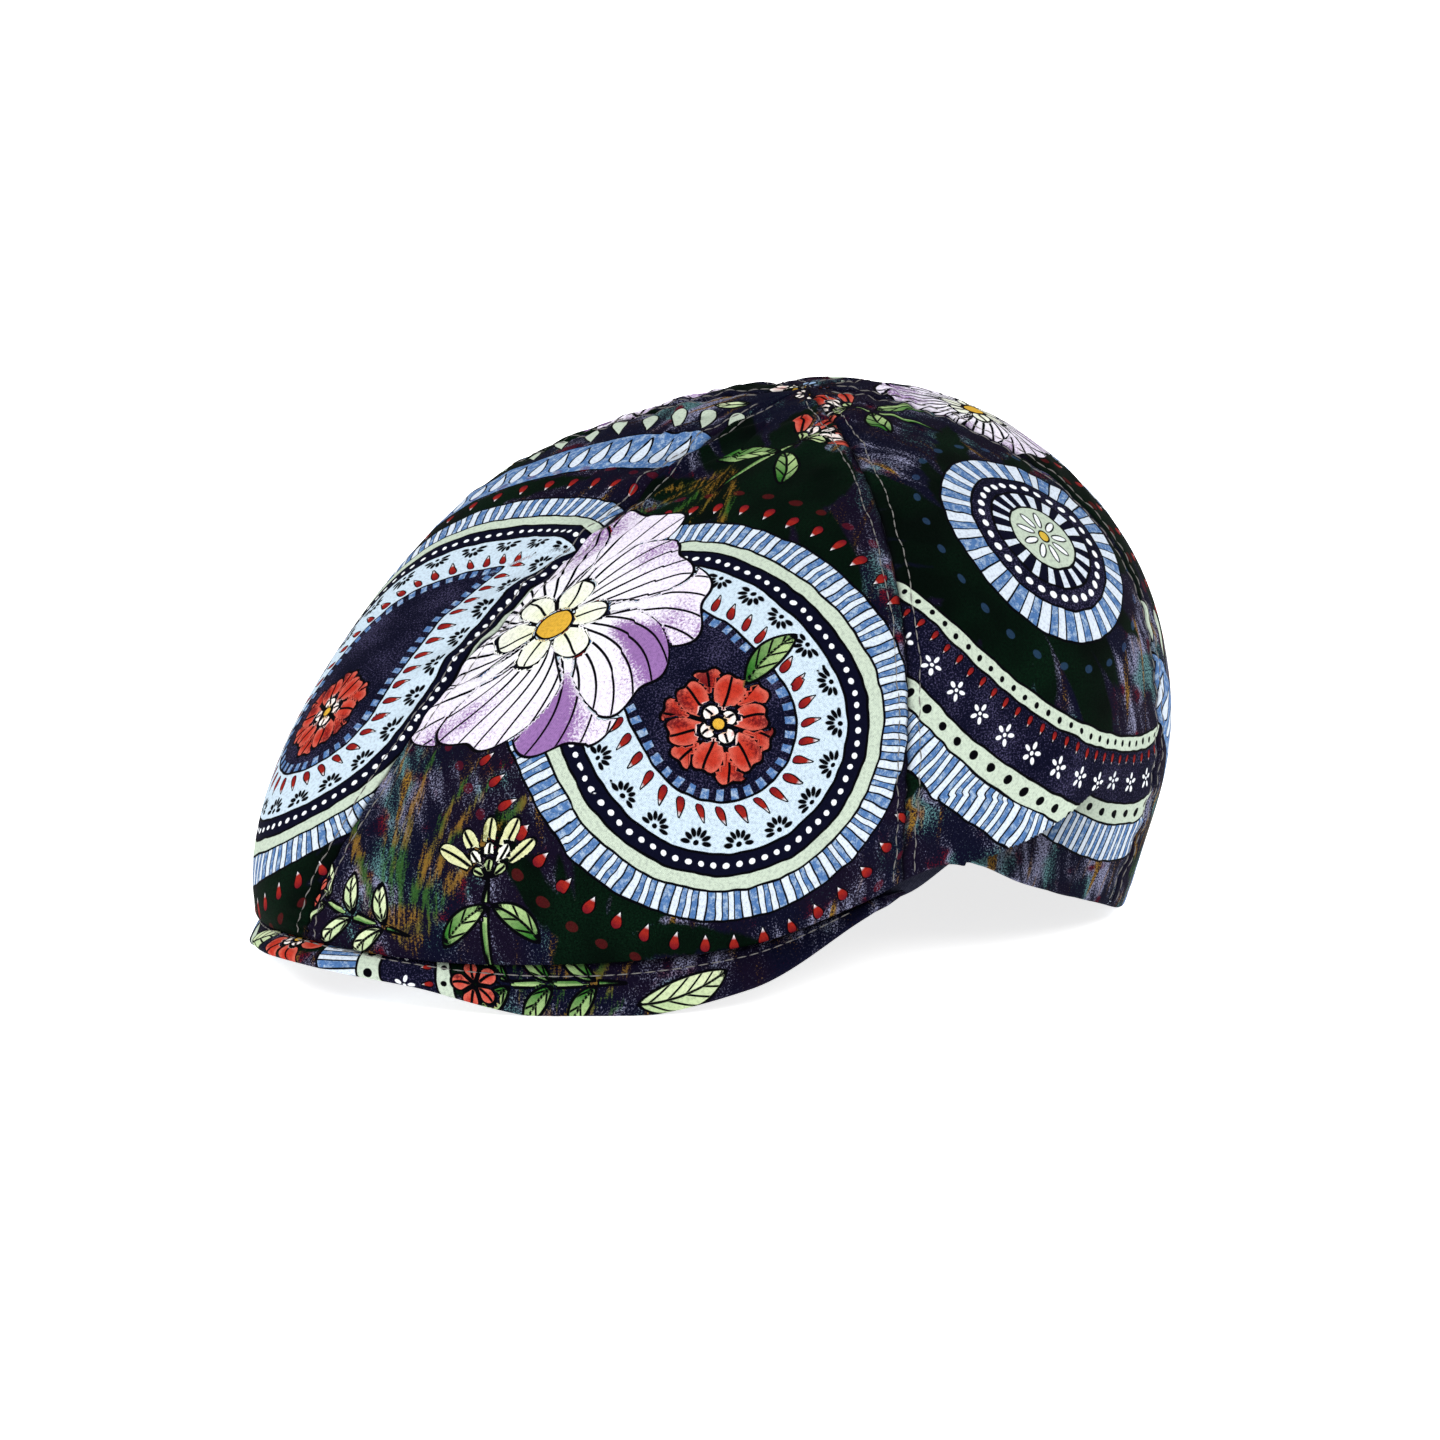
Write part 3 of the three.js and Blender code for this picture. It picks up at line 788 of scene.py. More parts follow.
def panelFaces(outerGrid, innerGrid, rows, columns):
    # the outer face with its turned edge, the inner face, and strips that join a run of
    # fine points to two coarse ones along the rim, the tip and both seams. Also says where
    # the outer and the inner faces end.
    step, downCount, across = panel["coarse"], panel["down"], outerGrid.shape[1] - 1
    faces = gridFaces(outerGrid).tolist()
    printed = len(faces)
    faces += gridFaces(innerGrid).tolist()
    plain = len(faces)
    for k in range(len(columns) - 1):
        fine = np.s_[k * step:(k + 1) * step + 1]
        faces.append([*outerGrid[-1, fine][::-1], innerGrid[0, k], innerGrid[0, k + 1]])
    for k in range(len(columns) - 1):
        fine = np.s_[k * step:(k + 1) * step + 1]
        faces.append([*outerGrid[0, fine], innerGrid[-1, k + 1], innerGrid[-1, k]])
    for side, column in ((0, 0), (-1, across)):
        way = 1 if side else -1
        for k in range(len(rows) - 1):
            fine = outerGrid[downCount - (k + 1) * step:downCount - k * step + 1, column]
            faces.append([*fine[::way], *innerGrid[k:k + 2, side][::way]])
        faces.append([*outerGrid[downCount:, column], innerGrid[0, side]][::way])
    return [[int(i) for i in face] for face in faces], printed, plain


def flatPlace(flat, row, angle, down, last):
    # a place on the crown, looked up on the flat panel
    i = np.clip(down / last, 0, 1) * (flat.shape[0] - 1)
    j = np.clip((angle - row["from"]) / (row["to"] - row["from"]), 0, 1) * (flat.shape[1] - 1)
    return flat[int(round(i)), int(round(j))]


def buildPanel(name, row, seed, materials):
    # outer face from the cloth's own points, between its two seams
    downCount, across = panel["down"], row["across"]
    edgeRadius = cloth["wall"] / 2
    last = 1 - edgeRadius / cloth["meridianLength"]
    down = (panel["tip"] + (1 - panel["tip"]) * np.linspace(0, 1, downCount + 1)) * last
    degree = perDegree(np.full(down.shape, float(row["from"])), down)
    inset = (panel["seamGap"] / np.maximum(degree, 1e-3))[:, None]
    share = np.linspace(0, 1, across + 1)[None, :]
    angle = (row["from"] + inset) * (1 - share) + (row["to"] - inset) * share
    down = np.broadcast_to(down[:, None], angle.shape)
    outer = clothPoint(angle, down)
    normal = crownNormal(angle, down)
    flat = flatten(outer)
    flat[..., 1] += hiddenCloth(angle, down)

    # the turned edge: half a circle from the outer face to the inner one
    nearRim = [crownPoint(angle[-1], np.full(across + 1, place)) for place in (0.985, 0.995)]
    below = unit(nearRim[1] - nearRim[0])
    swing = np.linspace(0, np.pi, panel["rollSteps"] + 1)[1:, None, None]
    edge = outer[-1] + edgeRadius * (np.sin(swing) * below - (1 - np.cos(swing)) * normal[-1])
    edge[..., 2] = np.maximum(edge[..., 2], 0)

    # the inner face, from every fourth row and column of the outer one
    rows = np.arange(0, downCount + 1, panel["coarse"])[::-1]
    columns = np.arange(0, across + 1, panel["coarse"])
    inner = outer[np.ix_(rows, columns)] - cloth["wall"] * normal[np.ix_(rows, columns)]

    outerGrid = np.arange((downCount + 1 + panel["rollSteps"]) * (across + 1)).reshape(-1, across + 1)
    innerGrid = outerGrid.size + np.arange(inner[..., 0].size).reshape(inner.shape[:2])
    points = np.concatenate([part.reshape(-1, 3) for part in (outer, edge, inner)])
    faces, printed, plain = panelFaces(outerGrid, innerGrid, rows, columns)
    index = np.arange(len(faces)) >= printed
    made = makeObject("panel_" + name, points, faces, materials, index, range(plain, len(faces)))

    flatEdge = np.broadcast_to(flat[-1], edge.shape[:2] + (2,)).copy()
    flatEdge[..., 1] += edgeRadius * swing[..., 0]
    allFlat = np.concatenate([part.reshape(-1, 2) for part in (flat, flatEdge, flat[np.ix_(rows, columns)])])
    setUv(made, allFlat + np.array(panel["flatShift"]) * seed)
    placed = [dict(motifRow, at=flatPlace(flat, row, *motifRow["at"], last)) for motifRow in layouts[name]]
    fields = printFields(allFlat[:, 0], allFlat[:, 1], placed, seed, panel["fillers"])
    # painted shade under the creases, in the seams' grooves and between the slack wrinkles, on the outer face
    # only
    fields["shade"] = np.zeros(len(allFlat))
    fields["shade"][:angle.size] = foldShade(angle, down).ravel()
    setFields(made, fields)
    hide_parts("crown_" + name)
    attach(made, "root")
    size = np.round(np.ptp(flat.reshape(-1, 2), axis=0), 1)
    print("panel", name, len(made.data.polygons), "faces, flat size", size)


def buildCrown(materials):
    # three panels on the wearer's left, then the same on the right
    for side, sign in (("left", 1), ("right", -1)):
        for number, (name, row) in enumerate(halves.items(), 1 if sign > 0 else 4):
            ends = sorted((sign * row["from"], sign * row["to"]))
            buildPanel(name + "_" + side, dict(row, **{"from": ends[0], "to": ends[1]}), number, materials)


# Materials: a wire is one output of a node, and arithmetic on wires adds maths nodes
class Wire:
    def __init__(self, tree, socket):
        self.tree = tree
        self.socket = socket

    def __add__(self, other):
        return calc("ADD", self, other)

    def __sub__(self, other):
        return calc("SUBTRACT", self, other)

    def __rsub__(self, other):
        return calc("SUBTRACT", other, self)

    def __mul__(self, other):
        return calc("MULTIPLY", self, other)

    def __truediv__(self, other):
        return calc("DIVIDE", self, other)


def feed(tree, socket, value):
    # links a wire, or sets a number or a colour
    if isinstance(value, Wire):
        tree.links.new(value.socket, socket)
    elif isinstance(value, tuple):
        socket.default_value = (*value, 1)
    else:
        socket.default_value = value


def calc(operation, *values, clamp=False):
    tree = next(value.tree for value in values if isinstance(value, Wire))
    node = tree.nodes.new("ShaderNodeMath")
    node.operation = operation
    node.use_clamp = clamp
    for socket, value in zip(node.inputs, values):
        feed(tree, socket, value)
    return Wire(tree, node.outputs[0])


def above(value, limit, soft=0.1):
    # 1 where the value is over the limit, with an edge as wide as soft
    return calc("MULTIPLY_ADD", value, 1 / soft, 0.5 - limit / soft, clamp=True)


def below(value, limit, soft=0.1):
    # 1 where the value is under the limit, with an edge as wide as soft
    return calc("MULTIPLY_ADD", value, -1 / soft, 0.5 + limit / soft, clamp=True)


def distance(x, y):
    # root of the sum of the squares
    return calc("SQRT", x * x + y * y)


def mixColour(mask, under, over, blend="MIX"):
    # over where the mask is 1, under where it is 0
    node = mask.tree.nodes.new("ShaderNodeMix")
    node.data_type = "RGBA"
    node.blend_type = blend
    node.clamp_result = True
    for i, value in ((0, mask), (6, under), (7, over)):
        feed(mask.tree, node.inputs[i], value)
    return Wire(mask.tree, node.outputs[2])


def split(vector):
    # x, y and z of a vector
    node = vector.tree.nodes.new("ShaderNodeSeparateXYZ")
    feed(vector.tree, node.inputs[0], vector)
    return [Wire(vector.tree, output) for output in node.outputs]


def noise(place, scale, detail=2.0, roughness=0.5):
    # soft random values from 0 to 1 on the flat cloth
    node = place.tree.nodes.new("ShaderNodeTexNoise")
    node.noise_dimensions = "2D"
    for label, value in (("Vector", place), ("Scale", scale), ("Detail", detail), ("Roughness", roughness)):
        feed(place.tree, node.inputs[label], value)
    return Wire(place.tree, node.outputs["Fac"])


def stretched(place, turn, along, across):
    # the same place, measured along and across a heading in degrees and scaled each way
    node = place.tree.nodes.new("ShaderNodeMapping")
    node.vector_type = "TEXTURE"
    node.inputs["Rotation"].default_value = (0, 0, math.radians(turn))
    node.inputs["Scale"].default_value = (1 / along, 1 / across, 1)
    feed(place.tree, node.inputs["Vector"], place)
    return Wire(place.tree, node.outputs[0])


def newGroup(name, inputs, outputs=("Color",)):
    # a node group with named sockets; those not listed as a colour or vector are numbers
    kinds = {"Under": "Color", "Speckled": "Color", "Inner": "Color", "Color": "Color", "Paint": "Color",
             "Stain": "Color", "Field": "Vector", "Place": "Vector"}
    tree = bpy.data.node_groups.new(name, "ShaderNodeTree")
    for way, labels in (("INPUT", inputs), ("OUTPUT", outputs)):
        for label in labels:
            tree.interface.new_socket(label, in_out=way, socket_type="NodeSocket" + kinds.get(label, "Float"))
    result = tree.nodes.new("NodeGroupOutput").inputs
    given = tree.nodes.new("NodeGroupInput").outputs
    return tree, {label: Wire(tree, given[label]) for label in inputs}, result


def placeGroup(tree, group, **values):
    # a copy of a group in a material, with its own values
    node = tree.nodes.new("ShaderNodeGroup")
    node.node_tree = group
    for label, value in values.items():
        feed(tree, node.inputs[label], value)
    return {output.name: Wire(tree, output) for output in node.outputs}


dye = {
    # near-black of the print's lines, also used as the colour of the painted shade in the folds
    "inkAndShade": (0.001, 0.001, 0.002),
    "navy": (0.0026, 0.003, 0.012),
    "plum": (0.005, 0.003, 0.011),
    "violet": (0.10, 0.09, 0.19),
    "leafBlack": (0.0006, 0.0025, 0.0014),
    "moss": (0.002, 0.012, 0.005),
    "lilacGrey": (0.26, 0.265, 0.40),
    "teal": (0.10, 0.22, 0.23),
    "ochre": (0.26, 0.14, 0.02),
    "olive": (0.035, 0.11, 0.018),
    "maroon": (0.13, 0.006, 0.012),
    "paleGreen": (0.47, 0.55, 0.45),
    "paleBlue": (0.50, 0.61, 0.70),
    "frost": (0.59, 0.66, 0.745),
    "midBlue": (0.065, 0.15, 0.34),
    "white": (0.82, 0.86, 0.90),
    "red": (0.26, 0.015, 0.010),
    "amber": (0.60, 0.40, 0.05),
}
line = {"belt": 0.24, "vein": 0.24, "bar": 0.09, "barShare": 60}


def ladder(run, pitch, dark, light):
    # cross bars of two colours, of uneven widths, with a thin line at every change
    uneven = run + calc("SINE", run * 0.83) * 0.32
    bars = mixColour(above(calc("FRACT", uneven / pitch), 0.5, 0.02), dark, light)
    thin = below(calc("PINGPONG", uneven, pitch / 4), line["bar"] + pitch / line["barShare"])
    return mixColour(thin, bars, dye["inkAndShade"])


def steps(run, pitch):
    # distance from the nearest even step along a belt
    return calc("WRAP", run, pitch / 2, -pitch / 2)


def spots(run, depth, pitch, centre, radius, stretch=1.0):
    # round spots at even steps along a belt, as a mask
    return below(distance(steps(run, pitch) / stretch, depth - centre), radius)


def drops(run, depth, pitch, point, length, width, lean=0.0):
    # a drop at even steps: its half width is the share along it, to the power 1.4, times
    # the square root of what is left, so it is pointed at one end and round at the other.
    # Gives how far inside the drop a place is, and the share along it.
    share = calc("DIVIDE", depth - point, length, clamp=True)
    aside = calc("ABSOLUTE", steps(share * lean + run, pitch))
    half = calc("POWER", share, 1.4) * calc("SQRT", 1.0 - share) * (width * 1.42)
    outside = above(half, 0.03, 0.04) * 0.6 - 0.6
    return half - aside + outside, share


def petalRing(x, y, petals, spread, middle, half, narrow):
    # oval petals round a point, inside a spread of bearings about the y direction, as a mask
    bearing = calc("ARCTAN2", x, y)
    sector = math.radians(spread) / petals
    off = calc("WRAP", bearing, sector / 2, -sector / 2)
    far = distance(x, y)
    along = (calc("COSINE", off) * far - middle) / half
    aside = calc("SINE", off) * far / narrow
    mask = below(distance(along, aside), 1.0, 0.12 / narrow)
    if spread < 360:
        mask = mask * below(calc("ABSOLUTE", bearing), math.radians(spread) / 2, 0.02)
    return calc("MAXIMUM", mask, below(far, middle * 0.26))


def redDrops(under, run, depth, **shape):
    # outlined red drops that turn white towards their point
    inside, share = drops(run, depth, **shape)
    colour = mixColour(above(inside, -0.12), under, dye["inkAndShade"])
    body = mixColour(above(share, 0.75, 0.4), dye["red"], dye["maroon"])
    body = mixColour(below(share, 0.27, 0.2), body, dye["white"])
    return mixColour(above(inside, 0.14), colour, body)


def layBelts(under, depth, design, parts):
    # belts side by side: each replaces the colour further in from its own start, and a thin
    # line is drawn along every start
    colour = under
    for name, part in parts.items():
        start = design[name]["start"]
        colour = mixColour(above(depth, start), colour, part)
        colour = mixColour(below(calc("ABSOLUTE", depth - start), line["belt"]), colour, dye["inkAndShade"])
    return colour


paisleyBelts = {
    "ghost": {"pitch": 6.4, "centre": -9.2, "radius": 0.8, "stretch": 1.5},
    "outerDrop": {"pitch": 5.6, "point": 2.2, "length": 3.8, "width": 2.1},
    "bars": {"start": 0.0, "pitch": 2.7},
    "green": {"start": 5.6},
    "dotted": {"start": 8.4, "dot": {"pitch": 2.3, "centre": 10.3, "radius": 0.5, "stretch": 1.1}},
    "pale": {"start": 12.2, "pitch": 7.4, "centre": 13.7},
    "petals": {"petals": 7, "spread": 215, "middle": 1.8, "half": 0.85, "narrow": 0.43},
    "innerDrop": {"pitch": 3.7, "point": 16.8, "length": 3.9, "width": 1.6, "lean": 1.2},
    "squares": {"start": 21.4, "end": 23.3, "pitch": 1.3},
}


def makePaisleyGroup():
    # a row of red drops outside, then belts in to a dark middle. Each belt's own length is
    # the outline's less its depth times the angle that the outline has turned.
    tree, given, result = newGroup("paisleyBelts", ("Under", "Speckled", "Inner", "Field", "Wobble"))
    belts, (depth, run, turning) = paisleyBelts, split(given["Field"])
    depth = depth + given["Wobble"]
    run = run + given["Wobble"]

    def runAt(reach):
        return turning * -reach + run

    faded = mixColour(spots(runAt(-9.0), depth, **belts["ghost"]) * 0.35, given["Under"], dye["maroon"])
    outside = redDrops(faded, runAt(-4.0), depth * -1.0, **belts["outerDrop"])
    bars = ladder(runAt(2.8), belts["bars"]["pitch"], given["Speckled"], dye["frost"])
    dotted = mixColour(spots(runAt(10.3), depth, **belts["dotted"]["dot"]), dye["navy"], dye["white"])
    x, y = steps(runAt(14.5), belts["pale"]["pitch"]), depth - belts["pale"]["centre"]
    pale = mixColour(petalRing(x, y, **belts["petals"]), dye["paleBlue"], dye["inkAndShade"])
    pale = redDrops(pale, runAt(18.8), depth, **belts["innerDrop"])
    pitch = belts["squares"]["pitch"]
    squares = above(calc("PINGPONG", runAt(22.3), pitch), pitch / 2) * below(depth, belts["squares"]["end"])
    inner = mixColour(squares, given["Inner"], given["Speckled"])
    parts = {"bars": bars, "green": dye["paleGreen"], "dotted": dotted, "pale": pale, "squares": inner}
    feed(tree, result["Color"], layBelts(outside, depth, belts, parts))
    return tree


sashBelts = {
    "bars": {"pitch": 2.4},
    "wide": {"start": 8.0, "dot": {"pitch": 4.4, "centre": 10.2, "radius": 0.85}},
    "starry": {"start": 12.4, "pitch": 7.2, "centre": 16.6},
    "petals": {"petals": 5, "spread": 360, "middle": 1.4, "half": 0.66, "narrow": 0.4},
    "redDrop": {"pitch": 3.6, "point": 19.6, "length": 2.6, "width": 1.3},
    "slim": {"start": 22.8, "dot": {"pitch": 3.6, "centre": 24.3, "radius": 0.6}},
    "leaf": {"pitch": 6.2, "point": 1.4, "length": 8.6, "width": 3.4, "lean": 4.0},
    "whiteDrop": {"pitch": 4.7, "point": 1.2, "length": 8.4, "width": 3.2},
}


def makeSashGroup():
    # one design is a ladder, then pale belts with dark spots on both sides of a dark one
    # with white flowers; the other is a blue belt with large white drops, and a row of
    # pale leaves outside it
    tree, given, result = newGroup("sashBelts", ("Under", "Speckled", "Inner", "Field", "Inside", "Wobble"))
    belts, (depth, run, design) = sashBelts, split(given["Field"])
    depth = depth + given["Wobble"]
    inside = given["Inside"] + given["Wobble"]
    bars = ladder(run, belts["bars"]["pitch"], given["Speckled"], dye["frost"])
    wide = mixColour(spots(run, depth, **belts["wide"]["dot"]), dye["paleGreen"], dye["inkAndShade"])
    slim = mixColour(spots(run, depth, **belts["slim"]["dot"]), dye["paleGreen"], dye["inkAndShade"])
    x, y = steps(run, belts["starry"]["pitch"]), depth - belts["starry"]["centre"]
    starry = mixColour(petalRing(x, y, **belts["petals"]), given["Inner"], dye["white"])
    starry = redDrops(starry, run, depth, **belts["redDrop"])
    flowered = layBelts(bars, depth, belts, {"wide": wide, "starry": starry, "slim": slim})

    garlanded = above(design, 0.5, 0.02)
    leafInside, _ = drops(run, depth * -1.0, **belts["leaf"])
    beside = garlanded * above(inside, -sashWidths["garland"])
    leaves = mixColour(beside * above(leafInside, -0.3), given["Under"], dye["inkAndShade"])
    leaves = mixColour(beside * above(leafInside, 0.1), leaves, dye["paleGreen"])
    drop, _ = drops(run, depth, **belts["whiteDrop"])
    garland = mixColour(above(drop, -0.22), given["Speckled"], dye["inkAndShade"])
    garland = mixColour(above(drop, 0.22), garland, dye["frost"])

    colour = mixColour(above(inside, 0.0), leaves, mixColour(garlanded, flowered, garland))
    outline = below(calc("ABSOLUTE", inside), line["belt"])
    feed(tree, result["Color"], mixColour(outline, colour, dye["inkAndShade"]))
    return tree


wheelRings = {
    "bars": {"start": 0.0, "count": 27},
    "dotted": {"start": 5.8, "count": 30, "dot": {"centre": 8.0, "radius": 0.68, "stretch": 1.9}},
    "teeth": {"start": 10.0, "count": 18},
    "middle": {"start": 13.8, "bead": 1.4, "beadMiddle": 1.05},
    "outline": {"petals": 9, "spread": 360, "middle": 3.9, "half": 2.0, "narrow": 0.85},
    "filled": {"petals": 9, "spread": 360, "middle": 3.9, "half": 1.65, "narrow": 0.5},
    "ghost": {"count": 24, "dot": {"centre": -4.6, "radius": 0.7, "stretch": 1.2}},
}


def makeWheelGroup():
    # a ladder round the rim, a dotted ring, a ring of teeth and a petalled middle
    tree, given, result = newGroup("wheelRings", ("Under", "Speckled", "Inner", "Field", "Wobble"))
    x, y, _ = split(given["Field"])
    far = distance(x, y) + given["Wobble"]
    depth = wheelSize - far
    run = calc("ARCTAN2", x, y) * wheelSize
    rings = wheelRings
    pitch = {name: wheelSize * 2 * math.pi / ring["count"] for name, ring in rings.items() if "count" in ring}
    ghost = spots(run, depth, pitch["ghost"], **rings["ghost"]["dot"]) * 0.18
    faded = mixColour(ghost, given["Under"], dye["midBlue"])
    bars = ladder(run, pitch["bars"], given["Speckled"], dye["frost"])
    dots = spots(run, depth, pitch["dotted"], **rings["dotted"]["dot"])
    dotted = mixColour(dots, given["Inner"], dye["white"])
    teeth = ladder(run, pitch["teeth"], dye["navy"], dye["frost"])
    middle = mixColour(petalRing(x, y, **rings["outline"]), dye["paleGreen"], dye["inkAndShade"])
    middle = mixColour(petalRing(x, y, **rings["filled"]), middle, dye["white"])
    middle = mixColour(below(far, rings["middle"]["bead"]), middle, dye["inkAndShade"])
    middle = mixColour(below(far, rings["middle"]["beadMiddle"]), middle, dye["amber"])
    parts = {"bars": bars, "dotted": dotted, "teeth": teeth, "middle": middle}
    feed(tree, result["Color"], layBelts(faded, depth, rings, parts))
    return tree


def makeSpeckleGroup():
    # mid blue with pale watery patches, navy with violet specks, and a slow wobble that
    # makes the drawing uneven
    tree, given, result = newGroup("speckle", ("Place",), ("Speckled", "Inner", "Wobble"))
    place = given["Place"]
    speck = noise(place, 210, 2, 0.7)
    pale = above(speck * 0.6 + noise(place, 55, 2, 0.6), 0.9, 0.3)
    feed(tree, result["Speckled"], mixColour(pale * 0.6, dye["midBlue"], dye["paleBlue"]))
    specks = above(noise(place, 9, 2) * 0.35 + speck, 0.8, 0.18)
    feed(tree, result["Inner"], mixColour(specks * 0.5, dye["navy"], dye["violet"]))
    feed(tree, result["Wobble"], noise(place, 16, 1) * 0.8 - 0.4)
    return tree


ground = {
    "grain": 200,
    "clouds": 4.2,
    "streaks": {"turn": 62, "along": 5, "across": 34},
    "blades": {"turn": 84, "along": 4.5, "across": 30},
    "fibres": {"turn": 84, "along": 14, "across": 110},
    "glowFrom": 0.85,
    "speckFrom": 0.74,
    "glowLifts": 0.25,
    "brushedFrom": 3.5,
    "brushed": 0.65,
}


def makeGroundGroup():
    # near-black ground with glowing places, where fine bright specks lie close together and
    # thin out along brushed streaks. The specks are lilac grey, in places teal, maroon or,
    # in narrow blades, ochre. Fronds lie over them as smooth green-black leaves, and grass
    # as brushed ochre and olive blades.
    tree, given, result = newGroup("ground", ("Place", "Frond", "Grass"))
    place = given["Place"]
    base = mixColour(above(noise(place, 3.2, 2), 0.5, 0.12), dye["navy"], dye["plum"])
    speck = noise(place, ground["grain"], 2, 0.8)
    clouds = noise(place, ground["clouds"], 2, 0.5)
    streaks = noise(stretched(place, **ground["streaks"]), 1.0, 2, 0.5)
    blades = noise(stretched(place, **ground["blades"]), 1.0, 1)
    fibres = noise(stretched(place, **ground["fibres"]), 1.0, 2, 0.6)
    glow = above(streaks * 0.55 + clouds, ground["glowFrom"], 0.3)
    hue = mixColour(above(noise(place, 6, 1), 0.56, 0.1), dye["lilacGrey"], dye["teal"])
    hue = mixColour(above(noise(place, 11, 2), 0.64, 0.1), hue, dye["maroon"])
    hue = mixColour(above(blades, 0.65, 0.1), hue, dye["ochre"])
    strength = above(glow * ground["glowLifts"] + speck, ground["speckFrom"], 0.17) * (glow * 0.55 + 0.45)
    colour = mixColour(strength, base, hue)

    ragged = given["Frond"] + (streaks * 2.6 - 1.3)
    mossy = above(clouds, 0.5, 0.3) * above(speck, 0.5, 0.4)
    colour = mixColour(above(ragged, 0.0, 0.8), colour, mixColour(mossy, dye["leafBlack"], dye["moss"]))
    brushed = above(speck * 2.6 + fibres * 3.2 + given["Grass"], ground["brushedFrom"], 0.7)
    grass = mixColour(above(noise(place, 8, 1), 0.5, 0.15), dye["ochre"], dye["olive"])
    feed(tree, result["Color"], mixColour(brushed * ground["brushed"], colour, grass))
    return tree


def makeShapeGroup():
    # painted petals and leaves: filled inside their outline and stippled with their stain,
    # with a thin line round them and along their veins
    tree, given, result = newGroup("paintedShapes", ("Under", "Field", "Paint", "Amount", "Stain", "Place"))
    depth, vein, spacing = split(given["Field"])
    drift = given["Amount"] * 0.85 + noise(given["Place"], 14, 2) * 0.4
    stipple = above(noise(given["Place"], 150, 2, 0.7) + drift, 1.13, 0.34)
    fill = mixColour(stipple * 0.85, given["Paint"], given["Stain"])
    inside = above(depth, 0.2)
    colour = mixColour(above(depth, -0.3), given["Under"], dye["inkAndShade"])
    colour = mixColour(inside, colour, fill)
    veins = below(calc("PINGPONG", vein, 0.5) * spacing, line["vein"]) * inside
    feed(tree, result["Color"], mixColour(veins, colour, dye["inkAndShade"]))
    return tree


def makeWeaveGroup():
    # plain weave: warp and weft rise in turn; gives a height and a faint shade
    tree, given, result = newGroup("weave", ("Place", "Threads"), ("Height", "Shade"))
    x, y, _ = split(given["Place"])
    height = calc("SINE", x * given["Threads"]) * calc("SINE", y * given["Threads"])
    slub = noise(given["Place"], 130, 2, 0.6)
    feed(tree, result["Height"], height + slub)
    feed(tree, result["Shade"], height * 0.12 + slub)
    return tree


def attribute(tree, name):
    # all outputs of one of the mesh's attributes
    node = tree.nodes.new("ShaderNodeAttribute")
    node.attribute_name = name
    return {output.name: Wire(tree, output) for output in node.outputs}


finish = {"sheenRoughness": 0.35, "specular": 0.012}
clothFinishes = {
    "printedCloth": {"roughness": 0.75, "sheen": 0.0, "pitch": 0.5, "bump": 0.3, "height": 0.00012},
    "reverseCloth": {"colour": (0.012, 0.013, 0.022), "lighter": (0.05, 0.05, 0.075), "pitch": 0.5},
    "bandCloth": {"colour": (0.008, 0.009, 0.018), "lighter": (0.035, 0.036, 0.055), "pitch": 0.7},
    "thread": {"colour": (0.13, 0.125, 0.12), "lighter": (0.26, 0.25, 0.24), "pitch": 0.3, "roughness": 0.6},
}
plainCloth = {"roughness": 0.8, "sheen": 0.05, "bump": 0.4, "height": 0.0002}


def newMaterial(name, row, groups):
    # a cloth's shader, its place on the flat cloth, and its weave pressed into the surface
    material = bpy.data.materials.new(name)
    material.use_nodes = True
    tree = material.node_tree
    shader = tree.nodes["Principled BSDF"]
    shader.inputs["Roughness"].default_value = row["roughness"]
    shader.inputs["Sheen Weight"].default_value = row["sheen"]
    shader.inputs["Sheen Roughness"].default_value = finish["sheenRoughness"]
    shader.inputs["Specular IOR Level"].default_value = finish["specular"]
    uvMap = tree.nodes.new("ShaderNodeUVMap")
    uvMap.uv_map = "cloth"
    place = Wire(tree, uvMap.outputs[0])
    threads = 2 * math.pi * 100 / row["pitch"]      # the place is in tenths of a metre
    weave = placeGroup(tree, groups["weave"], Place=place, Threads=threads)
    bump = tree.nodes.new("ShaderNodeBump")
    bump.inputs["Strength"].default_value = row["bump"]
    bump.inputs["Distance"].default_value = row["height"]
    feed(tree, bump.inputs["Height"], weave["Height"])
    feed(tree, shader.inputs["Normal"], Wire(tree, bump.outputs[0]))
    return material, tree, shader, place, weave["Shade"]


def makePrintedCloth(groups):
    # the ground, then sashes, paisleys and wheels, then the painted shapes, dulled by the weave and
    #  darkened with painted shade in the folds
    row = clothFinishes["printedCloth"]
    material, tree, shader, place, weaveShade = newMaterial("printedCloth", row, groups)
    blades = {"Frond": attribute(tree, "frond")["Fac"], "Grass": attribute(tree, "grass")["Fac"]}
    colour = placeGroup(tree, groups["ground"], Place=place, **blades)["Color"]
    shared = placeGroup(tree, groups["speckle"], Place=place)
    for name in ("sash", "paisley", "wheel"):
        field = {"Field": attribute(tree, name)["Vector"]}
        if name == "sash":
            field["Inside"] = attribute(tree, "sashInside")["Fac"]
        colour = placeGroup(tree, groups[name], Under=colour, **shared, **field)["Color"]
    paint = attribute(tree, "paint")
    colour = placeGroup(tree, groups["shapes"], Under=colour, Field=attribute(tree, "shape")["Vector"],
                        Paint=paint["Color"], Amount=paint["Alpha"], Stain=attribute(tree, "stain")["Color"],
                        Place=place)["Color"]
    grain = calc("MULTIPLY_ADD", weaveShade, 2.2, -0.95, clamp=True)
    dulled = mixColour(grain, colour, (0.6, 0.6, 0.63), "MULTIPLY")
    # painted shade: the colour is mixed towards the near-black ink where the shade attribute says little
    # light reaches
    shaded = mixColour(attribute(tree, "shade")["Fac"] * 0.88, dulled, dye["inkAndShade"])
    feed(tree, shader.inputs["Base Color"], shaded)
    return material


